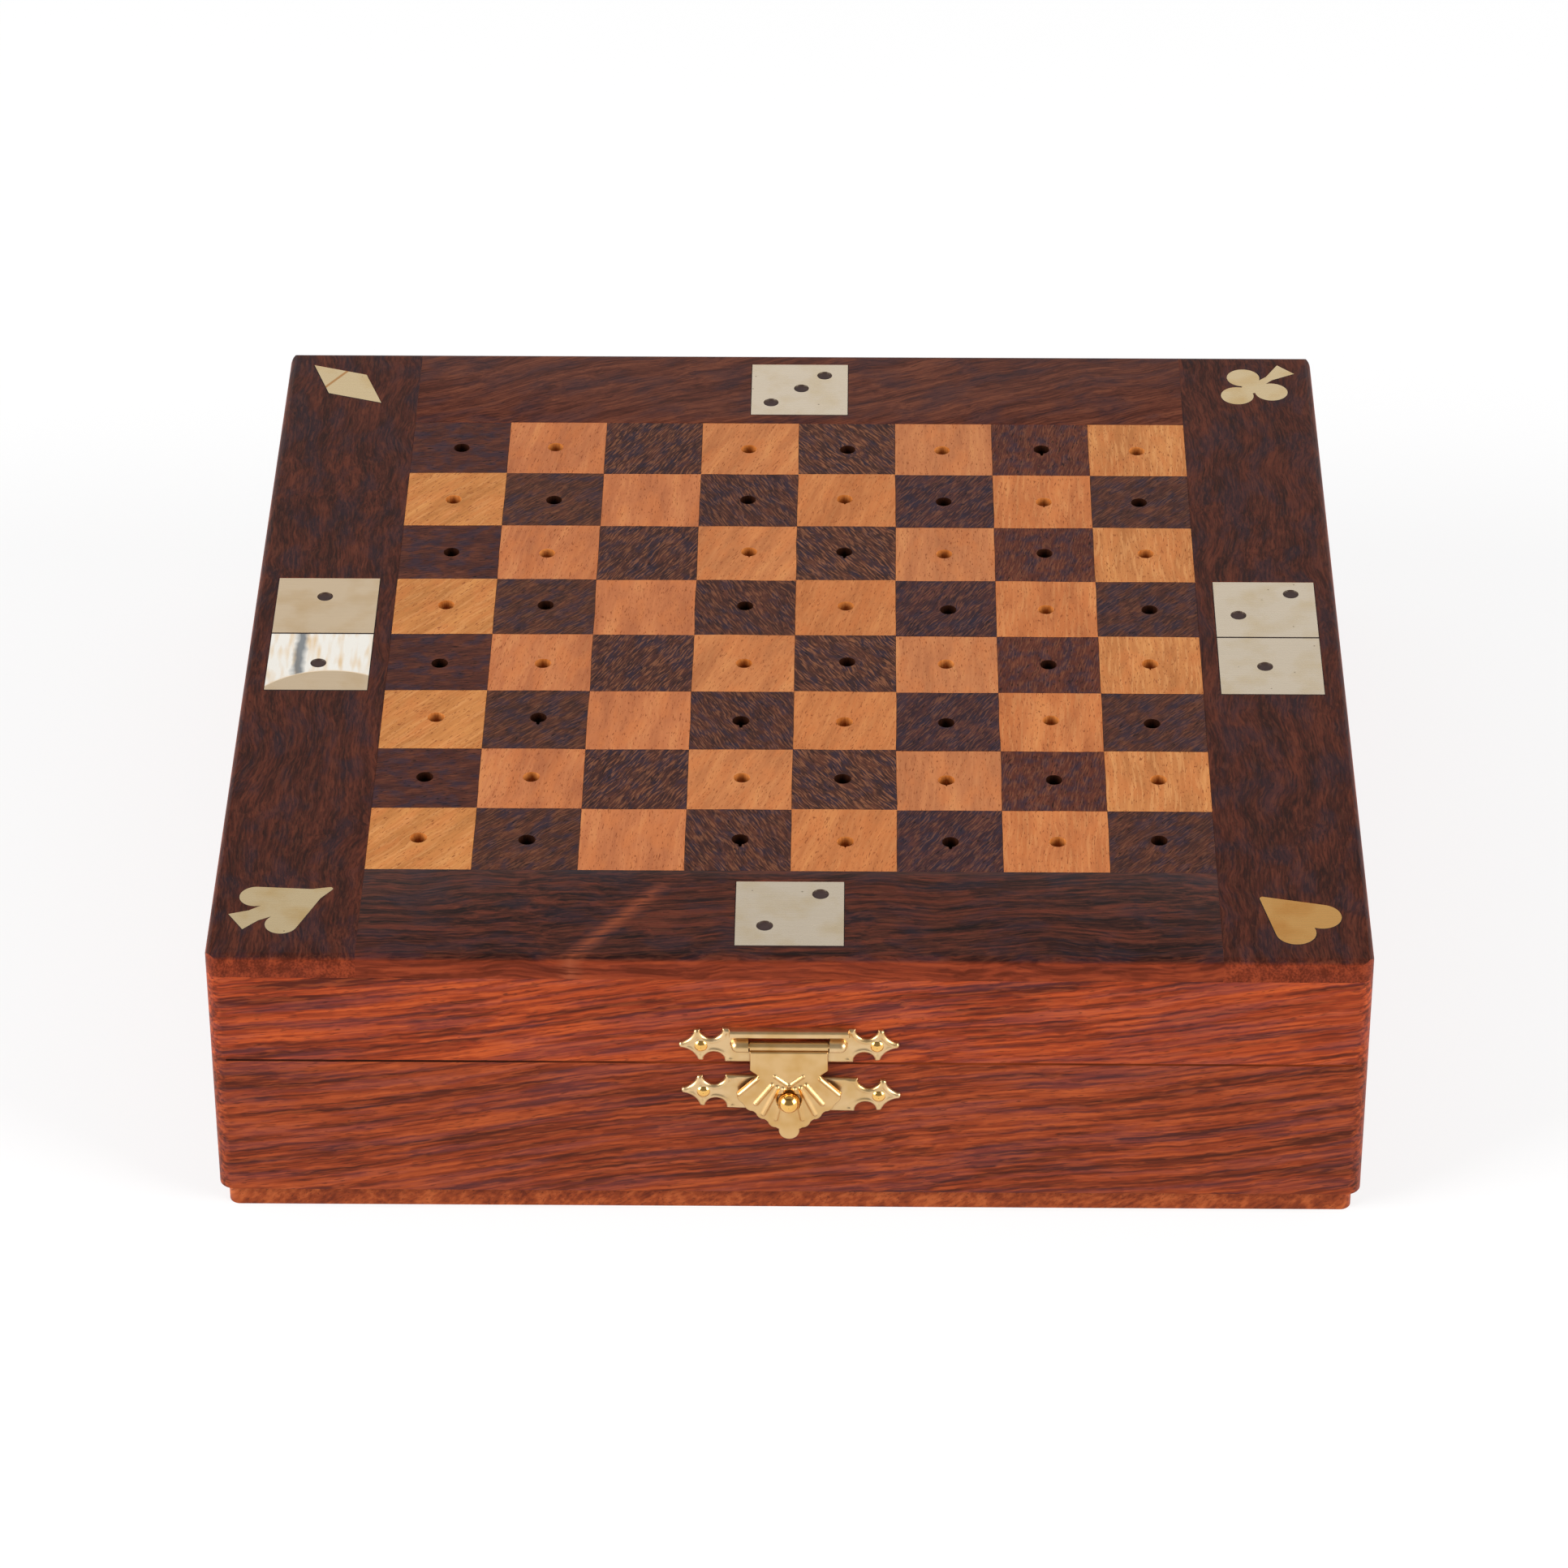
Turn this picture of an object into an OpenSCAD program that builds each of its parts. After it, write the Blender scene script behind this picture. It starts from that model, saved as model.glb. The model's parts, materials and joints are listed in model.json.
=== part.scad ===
// Games compendium box: a wooden travel case whose lid is a pegged chess board, with brass card
// suits, dice and dominoes let into the border, a pressed brass hasp and the games inside.
// Millimetres. X runs to the right, Y to the back and Z up. The origin is the centre of the underside.

/* [Box] */
// Width of the box, side to side
box_w = 178; // [176:1:184]
// Depth of the box, front to back
box_d = 178; // [176:1:184]
// Height of the box with its lid shut
box_h = 49; // [47:0.5:54]
// Height of the lid, from the parting line to the board
lid_h = 19.8; // [18:0.2:21]
// Thickness of the four boards of the tray and of the lid
wall = 9; // [8:0.5:9.5]
// Radius of the upright corners
corner_r = 2.5; // [2:0.25:4]
// Radius of the worn edge round the board
edge_r = 1.2; // [0.6:0.1:1.6]
// Thickness of the panel under the tray
bottom_t = 4; // [3:0.5:5]
// How far the bottom panel stands back from the boards
bottom_inset = 1.3; // [0.5:0.1:2]
// Radius of the bottom panel's corners
bottom_r = 1.8; // [1:0.1:3]
// Thickness of the felt lining
felt_t = 0.8; // [0.5:0.1:1]

/* [Board] */
// Side of one square
square = 16.5; // [16:0.25:17]
// Thickness of the squares and of the border round them
top_t = 4; // [3.5:0.25:4.5]
// Thickness of the panel that carries the squares
backing_t = 3; // [2.5:0.5:4]
// Diameter of the peg holes
peg_hole_d = 2.4; // [2.3:0.05:2.6]
// The one file of squares that was left undrilled, counted from the left
undrilled_file = 3; // [1:1:8]

/* [Inlays] */
// Thickness of the brass let into the border
inlay_t = 0.8; // [0.6:0.1:1]
// Side of a die plate, and width of a domino plate
plate_w = 16.9; // [15:0.1:18]
// Diameter of a pip
pip_d = 2.6; // [2:0.1:3]
// How far the dark filling of a pip lies below the brass
pip_sink = 0.2; // [0.1:0.05:0.3]

/* [Hinges] */
// Length of a hinge
hinge_len = 25; // [20:1:30]
// Distance of each hinge from the middle of the back
hinge_x = 52; // [45:1:58]
// Thickness of a hinge leaf
leaf_t = 0.8; // [0.6:0.1:1]
// Width of a hinge leaf, let into the edge of the board
leaf_w = 7.5; // [6:0.5:8]
// Radius of the knuckles
knuckle_r = 1.6; // [1.4:0.1:1.8]
// Radius of the hinge pin
pin_r = 0.6; // [0.5:0.05:0.7]

/* [Latch] */
// Thickness of the pressed brass sheet
sheet_t = 0.6; // [0.5:0.05:0.7]
// Height of the upper plate's middle above the table
upper_plate_z = 32.9; // [32.5:0.1:34]
// Height of the lower plate's middle above the table
lower_plate_z = 23.7; // [22.5:0.1:24]
// Slant of the lower plate, which was nailed on by eye
lower_plate_slant = -1.6; // [-3:0.1:3]
// Radius of the ball that the flap drops over
stud_r = 1.7; // [1.5:0.05:1.7]
// Radius of the hole in the flap
stud_hole_r = 1.85; // [1.85:0.05:2.1]

/* [Games] */
// Width of a domino
domino_w = 22.4; // [20:0.2:22.4]
// Length of a domino
domino_l = 44; // [40:0.5:44]
// Thickness of a domino
domino_t = 5; // [4:0.25:5]
// Side of a die
die_w = 11; // [9:0.5:12]
// Thickness of the pack of cards
pack_t = 16; // [14:0.5:18]
// Radius of a chess man's foot
foot_r = 4.5; // [4:0.1:4.8]
// Length of the peg under a chess man
peg_l = 3.8; // [3:0.1:4]
// Diameter of the peg
peg_d = 2.2; // [2:0.05:2.25]
// Height of the king above the board; the other men follow it
king_h = 24; // [20:0.5:25]

/* [Hidden] */
$fn = 48;

over = 1;             // how far a cutter runs past the face it cuts
left = -1;
right = 1;

// Heights, from the table up
parting_z = box_h - lid_h;
floor_z = bottom_t + felt_t;
rail_top_z = box_h - top_t;
backing_z = rail_top_z - backing_t;

// Inside of the tray, and its bays
inner_w = box_w - 2 * wall;
inner_d = box_d - 2 * wall;
divider_t = 3;
divider_h = 22;
housing = 2;          // how deep the dividers are let into the boards
domino_bay_d = domino_l + 1;
cards_bay_w = 64;
cards_bay_d = 93;
long_y = inner_d / 2 - domino_bay_d - divider_t;
column_x = -inner_w / 2 + cards_bay_w;
cards_y = -inner_d / 2 + cards_bay_d;
men_bay_w = inner_w / 2 - column_x - divider_t;
men_bay_d = (long_y + inner_d / 2 - divider_t) / 2;
men_y = -inner_d / 2 + men_bay_d;

// The board
board_half = 4 * square;

// Hinges: the leaves meet in the parting plane and the knuckles stand just clear of the back
knuckles = 5;
knuckle_gap = 0.2;
pin_play = 0.05;
axis_out = knuckle_r + 0.3;
hinge_y = box_d / 2 + axis_out;
knuckle_len = (hinge_len - (knuckles - 1) * knuckle_gap) / knuckles;
screw_r = 0.9;
screw_head_r = 1.6;
screw_len = 8;
screw_spread = 8;
screw_y = box_d / 2 - leaf_w / 2 - 0.5;

// Latch, drawn flat on the front: x across, y up, z out of the wood
plate_h = 6.3;
flap_axis_up = 0.3;
flap_axis_out = 1;
roll_r = 0.75;
trunnion_r = 0.4;
trunnion_l = 2;
trunnion_play = 0.05;
trunnion_end_play = 0.3;
flap_w = 12;
flap_t = 0.5;
trunnion_bore_l = flap_w + 2 * (trunnion_l + trunnion_end_play);
window_play = 0.2;
window_w = flap_w + 2 * window_play;
window_low = -1;
window_high = 1.75;
boss_r = flap_axis_out;
boss_l = 2.6;
bar_half_l = 9.2;
bar_h = plate_h / 2 - window_high;
bar_out = 1.45;
bar_edge_r = 0.45;
nail_x = 13.5;
nail_r = 0.5;
nail_l = 6;
nail_head_r = 1.1;
nail_head_h = 0.6;
stud_out = 2.1;
stud_neck_r = 0.8;
stud_up = -0.5;       // the ball sits a little below the lower plate's middle
lower_plate_x = 0.3;

wood = "#7a3a22";
dark_wood = "#4a2a22";
pale_wood = "#c8793f";
brass = "#d8bf92";
latch_brass = "#cfa96a";

// ---------------------------------------------------------------- shared shapes

// A rectangle with round corners, centred
module rounded_outline(w, d, r) {
    square([w, d - 2 * r], center = true);
    square([w - 2 * r, d], center = true);
    for (x = [left, right]) {
        for (y = [-1, 1]) {
            translate([x * (w / 2 - r), y * (d / 2 - r)])
                circle(r);
        }
    }
}

// The part of the box's outline that one front or back board takes up
module cross_board_outline(side) {
    intersection() {
        rounded_outline(box_w, box_d, corner_r);
        translate([0, side * (box_d - wall) / 2])
            square([box_w, wall], center = true);
    }
}

// Puts a flat drawing on the front of the box: x stays across, y becomes height, z comes out
module on_front(x, z) {
    translate([x, -box_d / 2, z])
        rotate([90, 0, 0])
            children();
}

// A thin box from a corner, used for dividers and their housings
module block(x, y, z, w, d, h) {
    translate([x, y, z])
        cube([w, d, h]);
}

// ---------------------------------------------------------------- dividers of the tray

module long_divider(extra) {
    block(-inner_w / 2 - housing, long_y, floor_z, inner_w + 2 * housing, divider_t, divider_h + extra);
}

module column_divider(extra) {
    block(
        column_x, -inner_d / 2 - housing, floor_z,
        divider_t, long_y + inner_d / 2 + housing, divider_h + extra
    );
}

module cards_divider(extra) {
    block(-inner_w / 2 - housing, cards_y, floor_z, cards_bay_w + housing, divider_t, divider_h + extra);
}

module chessmen_divider(extra) {
    block(column_x + divider_t, men_y, floor_z, men_bay_w + housing, divider_t, divider_h + extra);
}

module long_partition() {
    color(wood)
        long_divider(0);
}

module column_partition() {
    color(wood)
        column_divider(0);
}

module cards_partition() {
    color(wood)
        cards_divider(0);
}

module chessmen_partition() {
    color(wood)
        chessmen_divider(0);
}

// ---------------------------------------------------------------- tray

module base_front_board() {
    color(wood)
        difference() {
            translate([0, 0, bottom_t])
                linear_extrude(parting_z - bottom_t)
                    cross_board_outline(-1);
            column_divider(box_h);
            on_front(lower_plate_x, lower_plate_z)
                rotate([0, 0, lower_plate_slant]) {
                    nail_holes();
                    stud_hole();
                }
        }
}

module base_back_board() {
    color(wood)
        difference() {
            translate([0, 0, bottom_t])
                linear_extrude(parting_z - bottom_t)
                    cross_board_outline(1);
            for (side = [left, right]) {
                leaf_bed(side, parting_z - leaf_t);
                leaf_screw_holes(side, -1);
            }
        }
}

module side_board(side, low, high) {
    translate([side * (box_w - wall) / 2 - wall / 2, -inner_d / 2, low])
        cube([wall, inner_d, high - low]);
}

module base_left_board() {
    color(wood)
        difference() {
            side_board(left, bottom_t, parting_z);
            long_divider(box_h);
            cards_divider(box_h);
        }
}

module base_right_board() {
    color(wood)
        difference() {
            side_board(right, bottom_t, parting_z);
            long_divider(box_h);
            chessmen_divider(box_h);
        }
}

module bottom_panel() {
    color(dark_wood)
        linear_extrude(bottom_t)
            rounded_outline(box_w - 2 * bottom_inset, box_d - 2 * bottom_inset, bottom_r);
}

module base_lining() {
    color("#24483a")
        block(-inner_w / 2, -inner_d / 2, bottom_t, inner_w, inner_d, felt_t);
}

// ---------------------------------------------------------------- lid carcass

module lid_front_rail() {
    color(wood)
        difference() {
            translate([0, 0, parting_z])
                linear_extrude(rail_top_z - parting_z)
                    cross_board_outline(-1);
            on_front(0, upper_plate_z)
                nail_holes();
        }
}

module lid_back_rail() {
    color(wood)
        difference() {
            translate([0, 0, parting_z])
                linear_extrude(rail_top_z - parting_z)
                    cross_board_outline(1);
            for (side = [left, right]) {
                leaf_bed(side, parting_z);
                leaf_screw_holes(side, 1);
            }
        }
}

module lid_left_rail() {
    color(wood)
        side_board(left, parting_z, rail_top_z);
}

module lid_right_rail() {
    color(wood)
        side_board(right, parting_z, rail_top_z);
}

module lid_backing_panel() {
    color(dark_wood)
        block(-inner_w / 2, -inner_d / 2, backing_z, inner_w, inner_d, backing_t);
}

module lid_lining() {
    color("#24483a")
        block(-inner_w / 2, -inner_d / 2, backing_z - felt_t, inner_w, inner_d, felt_t);
}

// ---------------------------------------------------------------- board

// Section of the top layer with its two worn edges, seen along one side of the box
module worn_section(w) {
    translate([-w / 2, rail_top_z])
        square([w, top_t - edge_r]);
    translate([edge_r - w / 2, rail_top_z])
        square([w - 2 * edge_r, top_t]);
    for (side = [left, right]) {
        translate([side * (w / 2 - edge_r), box_h - edge_r])
            circle(edge_r);
    }
}

// The whole top layer as one slab, from which the border strips are cut
module top_layer() {
    intersection() {
        rotate([90, 0, 0])
            linear_extrude(box_d + over, center = true)
                worn_section(box_w);
        rotate([90, 0, 90])
            linear_extrude(box_w + over, center = true)
                worn_section(box_d);
        linear_extrude(box_h + over)
            rounded_outline(box_w, box_d, corner_r);
    }
}

// Border strips: the left and right ones run the full depth, the others lie between them
module side_border(side) {
    intersection() {
        top_layer();
        translate([side * (box_w / 2 + board_half) / 2, 0, box_h - top_t / 2])
            cube([box_w / 2 - board_half, box_d + over, top_t + over], center = true);
    }
}

module cross_border(side) {
    intersection() {
        top_layer();
        translate([0, side * (box_d / 2 + board_half) / 2, box_h - top_t / 2])
            cube([2 * board_half, box_d / 2 - board_half, top_t + over], center = true);
    }
}

// Sinks a recess for a flat inlay into the top of a strip
module inlay_recess() {
    translate([0, 0, box_h - inlay_t])
        linear_extrude(inlay_t + over)
            children();
}

// Lays a brass inlay flush with the top of a strip
module inlay_brass() {
    color(brass)
        translate([0, 0, box_h - inlay_t])
            linear_extrude(inlay_t)
                children();
}

module top_border_left() {
    color(dark_wood)
        difference() {
            side_border(left);
            inlay_recess() {
                diamond_outline();
                spade_outline();
                domino_plate_outline(left);
            }
        }
}

module top_border_right() {
    color(dark_wood)
        difference() {
            side_border(right);
            inlay_recess() {
                club_outline();
                heart_outline();
                domino_plate_outline(right);
            }
        }
}

module top_border_front() {
    color(dark_wood)
        difference() {
            cross_border(-1);
            inlay_recess()
                die_plate_outline(-1);
        }
}

module top_border_back() {
    color(dark_wood)
        difference() {
            cross_border(1);
            inlay_recess()
                die_plate_outline(1);
        }
}

module board_square(file, rank) {
    x = (file - 4.5) * square;
    y = (4.5 - rank) * square;
    translate([x, y, rail_top_z])
        difference() {
            translate([-square / 2, -square / 2, 0])
                cube([square, square, top_t]);
            if (file != undrilled_file) {
                translate([0, 0, -over])
                    cylinder(d = peg_hole_d, h = top_t + 2 * over);
            }
        }
}

// Squares of one colour; files count from the left, ranks from the back
module squares_of(parity) {
    for (file = [1 : 8]) {
        for (rank = [1 : 8]) {
            if ((file + rank) % 2 == parity) {
                board_square(file, rank);
            }
        }
    }
}

module dark_squares() {
    color("#3c2a22")
        squares_of(0);
}

module light_squares() {
    color(pale_wood)
        squares_of(1);
}

// ---------------------------------------------------------------- inlays

die_plate_y = 77.2;
domino_plate_x = 77.2;
domino_plate_l = 33.4;
plate_joint = 0.1;
suit_at = 78.5;        // how far the suits lie from both middle lines

// Pips of the plates, from each plate's middle
die_back_pips = [[4.3, 4.7], [0.3, 0.4], [-4.9, -4.3]];
die_front_pips = [[4.7, 5.1], [-3.8, -3.2]];
domino_left_pips = [[-0.4, 11], [-0.1, -8.7]];
domino_right_pips = [[4.4, 13], [-4.5, 6.6], [-0.9, -8.5]];

module die_plate_outline(side) {
    translate([0, side * die_plate_y])
        square([plate_w, plate_w], center = true);
}

module domino_plate_outline(side) {
    translate([side * domino_plate_x, 0])
        square([plate_w, domino_plate_l], center = true);
}

module pip_circles(pips) {
    for (pip = pips) {
        translate(pip)
            circle(d = pip_d);
    }
}

// Puts a suit drawn along +X in its corner, turned so that +X points to the board's middle
module suit_place(x, y, turn) {
    translate([x, y])
        rotate(turn)
            children();
}

module diamond_outline() {
    long_half = 9.1;
    short_half = 4.5;
    suit_place(-suit_at, suit_at, -45)
        polygon([[long_half, 0], [0, short_half], [-long_half, 0], [0, -short_half]]);
}

module club_outline() {
    lobe_r = 2.9;
    suit_place(suit_at, suit_at, 225) {
        translate([3.9, 0])
            circle(lobe_r);
        for (side = [-1, 1]) {
            translate([-1.2, side * 3.3])
                circle(lobe_r);
        }
        translate([0.6, 0])
            circle(1.6);
        polygon([[0, -1], [0, 1], [-4.2, 0.8], [-8.6, 2.1], [-8.6, -2.1], [-4.2, -0.8]]);
    }
}

// A pair of lobes of radius r0 and the straight cheeks from them to a point of radius r1 on +X
module lobes_to_point(x0, y0, r0, x1, r1) {
    slope = asin((r0 - r1) / norm([x1 - x0, y0])) + atan(y0 / (x1 - x0));
    lobe_edge = [x0 + r0 * sin(slope), y0 + r0 * cos(slope)];
    point_edge = [x1 + r1 * sin(slope), r1 * cos(slope)];
    polygon([
        [x0, -y0], [lobe_edge[0], -lobe_edge[1]], [point_edge[0], -point_edge[1]],
        point_edge, lobe_edge, [x0, y0]
    ]);
    for (side = [-1, 1]) {
        translate([x0, side * y0])
            circle(r0);
    }
    translate([x1, 0])
        circle(r1);
}

// Heart with its point towards +X
module heart_outline() {
    suit_place(suit_at + 0.9, -suit_at - 0.9, 135)
        lobes_to_point(0, 2.9, 3.25, 9.5, 0.6);
}

// Spade with its point towards +X, drawn thinner near the point, on a flared foot
module spade_outline() {
    suit_place(-80, -77, 32) {
        lobes_to_point(0, 4.2, 2.6, 7.6, 1.6);
        lobes_to_point(7.2, 0.4, 1.4, 10.7, 0.5);
        polygon([[0.5, -1.8], [0.5, 1.8], [-2.6, 1.6], [-5.8, 2.4], [-5.8, -2.4], [-2.6, -1.6]]);
    }
}

module inlay_diamond() {
    inlay_brass()
        diamond_outline();
}

module inlay_club() {
    inlay_brass()
        club_outline();
}

module inlay_heart() {
    inlay_brass()
        heart_outline();
}

module inlay_spade() {
    inlay_brass()
        spade_outline();
}

module inlay_die(side, pips) {
    inlay_brass()
        difference() {
            die_plate_outline(side);
            translate([0, side * die_plate_y])
                pip_circles(pips);
        }
}

module inlay_die_back() {
    inlay_die(1, die_back_pips);
}

module inlay_die_front() {
    inlay_die(-1, die_front_pips);
}

// A domino plate is two square halves laid end to end
module inlay_domino(side, pips) {
    for (half = [-1, 1]) {
        inlay_brass()
            difference() {
                translate([side * domino_plate_x, half * domino_plate_l / 4])
                    square([plate_w, domino_plate_l / 2 - plate_joint], center = true);
                translate([side * domino_plate_x, 0])
                    pip_circles(pips);
            }
    }
}

module inlay_domino_left() {
    inlay_domino(left, domino_left_pips);
}

module inlay_domino_right() {
    inlay_domino(right, domino_right_pips);
}

// Dark filling in the pips, just below the brass
module inlay_pips() {
    color("#2e1c16")
        translate([0, 0, box_h - inlay_t])
            linear_extrude(inlay_t - pip_sink) {
                translate([0, die_plate_y])
                    pip_circles(die_back_pips);
                translate([0, -die_plate_y])
                    pip_circles(die_front_pips);
                translate([-domino_plate_x, 0])
                    pip_circles(domino_left_pips);
                translate([domino_plate_x, 0])
                    pip_circles(domino_right_pips);
            }
}

// ---------------------------------------------------------------- hinges

// Bed for a leaf, cut into the edge of a back board
module leaf_bed(side, low) {
    translate([side * hinge_x - hinge_len / 2, box_d / 2 - leaf_w, low])
        cube([hinge_len, leaf_w + over, leaf_t]);
}

// Where one knuckle of a hinge begins, counted from the left
function knuckle_x(i) = -hinge_len / 2 + i * (knuckle_len + knuckle_gap);

// A leaf with the knuckles whose numbers are odd or even; up is 1 for the lid and -1 for the base
module leaf(side, up, first) {
    low = up > 0 ? parting_z : parting_z - leaf_t;
    color(brass)
        difference() {
            union() {
                translate([side * hinge_x - hinge_len / 2, box_d / 2 - leaf_w, low])
                    cube([hinge_len, leaf_w, leaf_t]);
                for (i = [first : 2 : knuckles - 1]) {
                    translate([side * hinge_x + knuckle_x(i), 0, 0]) {
                        translate([0, hinge_y, parting_z])
                            rotate([0, 90, 0])
                                cylinder(r = knuckle_r, h = knuckle_len);
                        translate([0, box_d / 2 - over, low])
                            cube([knuckle_len, axis_out + over - pin_r, leaf_t]);
                    }
                }
            }
            translate([side * hinge_x, hinge_y, parting_z])
                rotate([0, 90, 0])
                    cylinder(r = pin_r + pin_play, h = hinge_len + over, center = true);
            for (x = [-1, 1]) {
                translate([side * hinge_x + x * screw_spread, screw_y, parting_z])
                    screw(up, 0);
            }
        }
}

// A countersunk screw whose head is flush with the parting plane
module screw(up, past) {
    mirror([0, 0, up > 0 ? 0 : 1]) {
        translate([0, 0, -past])
            cylinder(r = screw_r, h = screw_len + past);
        cylinder(r1 = screw_head_r, r2 = screw_r, h = leaf_t);
    }
}

module leaf_screw_holes(side, up) {
    for (x = [-1, 1]) {
        translate([side * hinge_x + x * screw_spread, screw_y, parting_z])
            screw(up, over);
    }
}

// The screws themselves, with the slot that a driver turns
module leaf_screws(up) {
    slot_w = 0.4;
    slot_depth = 0.4;
    color(brass)
        for (side = [left, right]) {
            for (x = [-1, 1]) {
                translate([side * hinge_x + x * screw_spread, screw_y, parting_z])
                    difference() {
                        screw(up, 0);
                        rotate([0, 0, 60 * x])
                            cube([3 * screw_head_r, slot_w, 2 * slot_depth], center = true);
                    }
            }
        }
}

module hinge_left_base_leaf() {
    leaf(left, -1, 0);
}

module hinge_right_base_leaf() {
    leaf(right, -1, 0);
}

module hinge_left_lid_leaf() {
    leaf(left, 1, 1);
}

module hinge_right_lid_leaf() {
    leaf(right, 1, 1);
}

module hinge_base_screws() {
    leaf_screws(-1);
}

module hinge_lid_screws() {
    leaf_screws(1);
}

// Pins with a small head at each end, just outside the knuckles
module hinge_pins() {
    head_r = 1;
    head_l = 0.5;
    color("#b9b4a8")
        for (side = [left, right]) {
            translate([side * hinge_x, hinge_y, parting_z])
                rotate([0, 90, 0]) {
                    cylinder(r = pin_r, h = hinge_len + 2 * head_l, center = true);
                    for (end = [-1, 1]) {
                        translate([0, 0, end * (hinge_len + head_l) / 2])
                            cylinder(r = head_r, h = head_l, center = true);
                    }
                }
        }
}

// ---------------------------------------------------------------- latch

// Round tips of a plate's right half, from its upper shoulder round the star to its lower shoulder,
// and the radii of the hollows between them, which run smoothly into the tips
tip_r = 0.5;
shoulder_up = plate_h / 2 - tip_r;
plate_tips = [[9.7, shoulder_up], [14.1, 2.4], [16.4, 0], [13.6, -2.35], [9.4, -shoulder_up]];
plate_hollows = [1.75, 2.5, 3.1, 1.65];
last_tip = len(plate_tips) - 1;

// Unit vector out of the plate, square to the line from tip i to the next one
function outward(i) =
    let(a = plate_tips[i], b = plate_tips[i + 1])
    [a[1] - b[1], b[0] - a[0]] / norm(b - a);

// Middle of the circle that hollows the edge between tip i and the next one and touches both
function hollow_at(i) =
    let(a = plate_tips[i], b = plate_tips[i + 1], reach = plate_hollows[i] + tip_r)
    (a + b) / 2 + outward(i) * sqrt(reach * reach - pow(norm(b - a) / 2, 2));

// Both latch plates: a bar with shoulders, whose ends are stars of three round tips
module plate_outline() {
    rim = [
        plate_tips[0] + [0, tip_r],
        for (i = [0 : last_tip - 1]) for (end = [i, i + 1]) plate_tips[end] + tip_r * outward(i),
        plate_tips[last_tip] - [0, tip_r]
    ];
    last = len(rim) - 1;
    difference() {
        polygon([
            for (i = [last : -1 : 0]) rim[i],
            for (i = [0 : last]) [-rim[i][0], rim[i][1]]
        ]);
        for (side = [left, right]) {
            for (i = [0 : last_tip - 1]) {
                translate([side * hollow_at(i)[0], hollow_at(i)[1]])
                    circle(plate_hollows[i]);
            }
        }
    }
    for (side = [left, right]) {
        for (tip = plate_tips) {
            translate([side * tip[0], tip[1]])
                circle(tip_r);
        }
    }
}

module nail_holes() {
    for (side = [left, right]) {
        translate([side * nail_x, 0, -nail_l])
            cylinder(r = nail_r, h = nail_l + over);
    }
}

module nails() {
    dome_r = (nail_head_r * nail_head_r + nail_head_h * nail_head_h) / (2 * nail_head_h);
    for (side = [left, right]) {
        translate([side * nail_x, 0, 0]) {
            translate([0, 0, -nail_l])
                cylinder(r = nail_r, h = nail_l + sheet_t);
            intersection() {
                translate([0, 0, sheet_t + nail_head_h - dome_r])
                    sphere(dome_r);
                translate([0, 0, sheet_t])
                    cylinder(r = 2 * nail_head_r, h = nail_head_h);
            }
        }
    }
}

// A bar that is round in front and flat behind, lying across the plate
module half_round_bar(from_x, to_x, up, out, r) {
    translate([from_x, 0, 0])
        rotate([90, 0, 90])
            linear_extrude(to_x - from_x) {
                translate([up, out])
                    circle(r);
                translate([up - r, 0])
                    square([2 * r, out]);
            }
}

// The moulding above the window: a raised strip with its two front edges rounded
module moulded_bar() {
    translate([-bar_half_l, window_high, 0])
        rotate([90, 0, 90])
            linear_extrude(2 * bar_half_l) {
                square([bar_h, bar_out - bar_edge_r]);
                translate([bar_edge_r, 0])
                    square([bar_h - 2 * bar_edge_r, bar_out]);
                for (up = [bar_edge_r, bar_h - bar_edge_r]) {
                    translate([up, bar_out - bar_edge_r])
                        circle(bar_edge_r);
                }
            }
}

// Plate on the lid: a window for the flap, a moulded bar above it and a boss on each side
module latch_upper_plate() {
    color(latch_brass)
        on_front(0, upper_plate_z)
            difference() {
                union() {
                    linear_extrude(sheet_t)
                        plate_outline();
                    moulded_bar();
                    for (side = [left, right]) {
                        inner = window_w / 2;
                        half_round_bar(
                            side > 0 ? inner : -inner - boss_l, side > 0 ? inner + boss_l : -inner,
                            flap_axis_up, flap_axis_out, boss_r
                        );
                    }
                }
                translate([-window_w / 2, window_low, -over])
                    cube([window_w, window_high - window_low, sheet_t + 2 * over]);
                translate([0, flap_axis_up, flap_axis_out])
                    rotate([0, 90, 0])
                        cylinder(r = trunnion_r + trunnion_play, h = trunnion_bore_l, center = true);
                nail_holes();
            }
}

module latch_upper_nails() {
    color(latch_brass)
        on_front(0, upper_plate_z)
            nails();
}

module latch_lower_plate() {
    color(latch_brass)
        on_front(lower_plate_x, lower_plate_z)
            rotate([0, 0, lower_plate_slant])
                difference() {
                    linear_extrude(sheet_t)
                        plate_outline();
                    nail_holes();
                    stud_hole();
                }
}

module latch_lower_nails() {
    color(latch_brass)
        on_front(lower_plate_x, lower_plate_z)
            rotate([0, 0, lower_plate_slant])
                nails();
}

module stud_hole() {
    translate([-lower_plate_x, stud_up, -nail_l])
        cylinder(r = stud_neck_r, h = nail_l + over);
}

// The ball on its neck, riveted through the lower plate
module latch_stud() {
    color(latch_brass)
        on_front(lower_plate_x, lower_plate_z)
            rotate([0, 0, lower_plate_slant])
                translate([-lower_plate_x, stud_up, 0]) {
                    translate([0, 0, -nail_l])
                        cylinder(r = stud_neck_r, h = nail_l + stud_out);
                    translate([0, 0, stud_out])
                        sphere(stud_r);
                }
}

// Heights on the flap, from its hinge down
flap_waist_up = -5.3;
flap_waist_half = 4.8;
flap_notch = 1;
flap_ball_up = lower_plate_z + stud_up - upper_plate_z - flap_axis_up;
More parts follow.
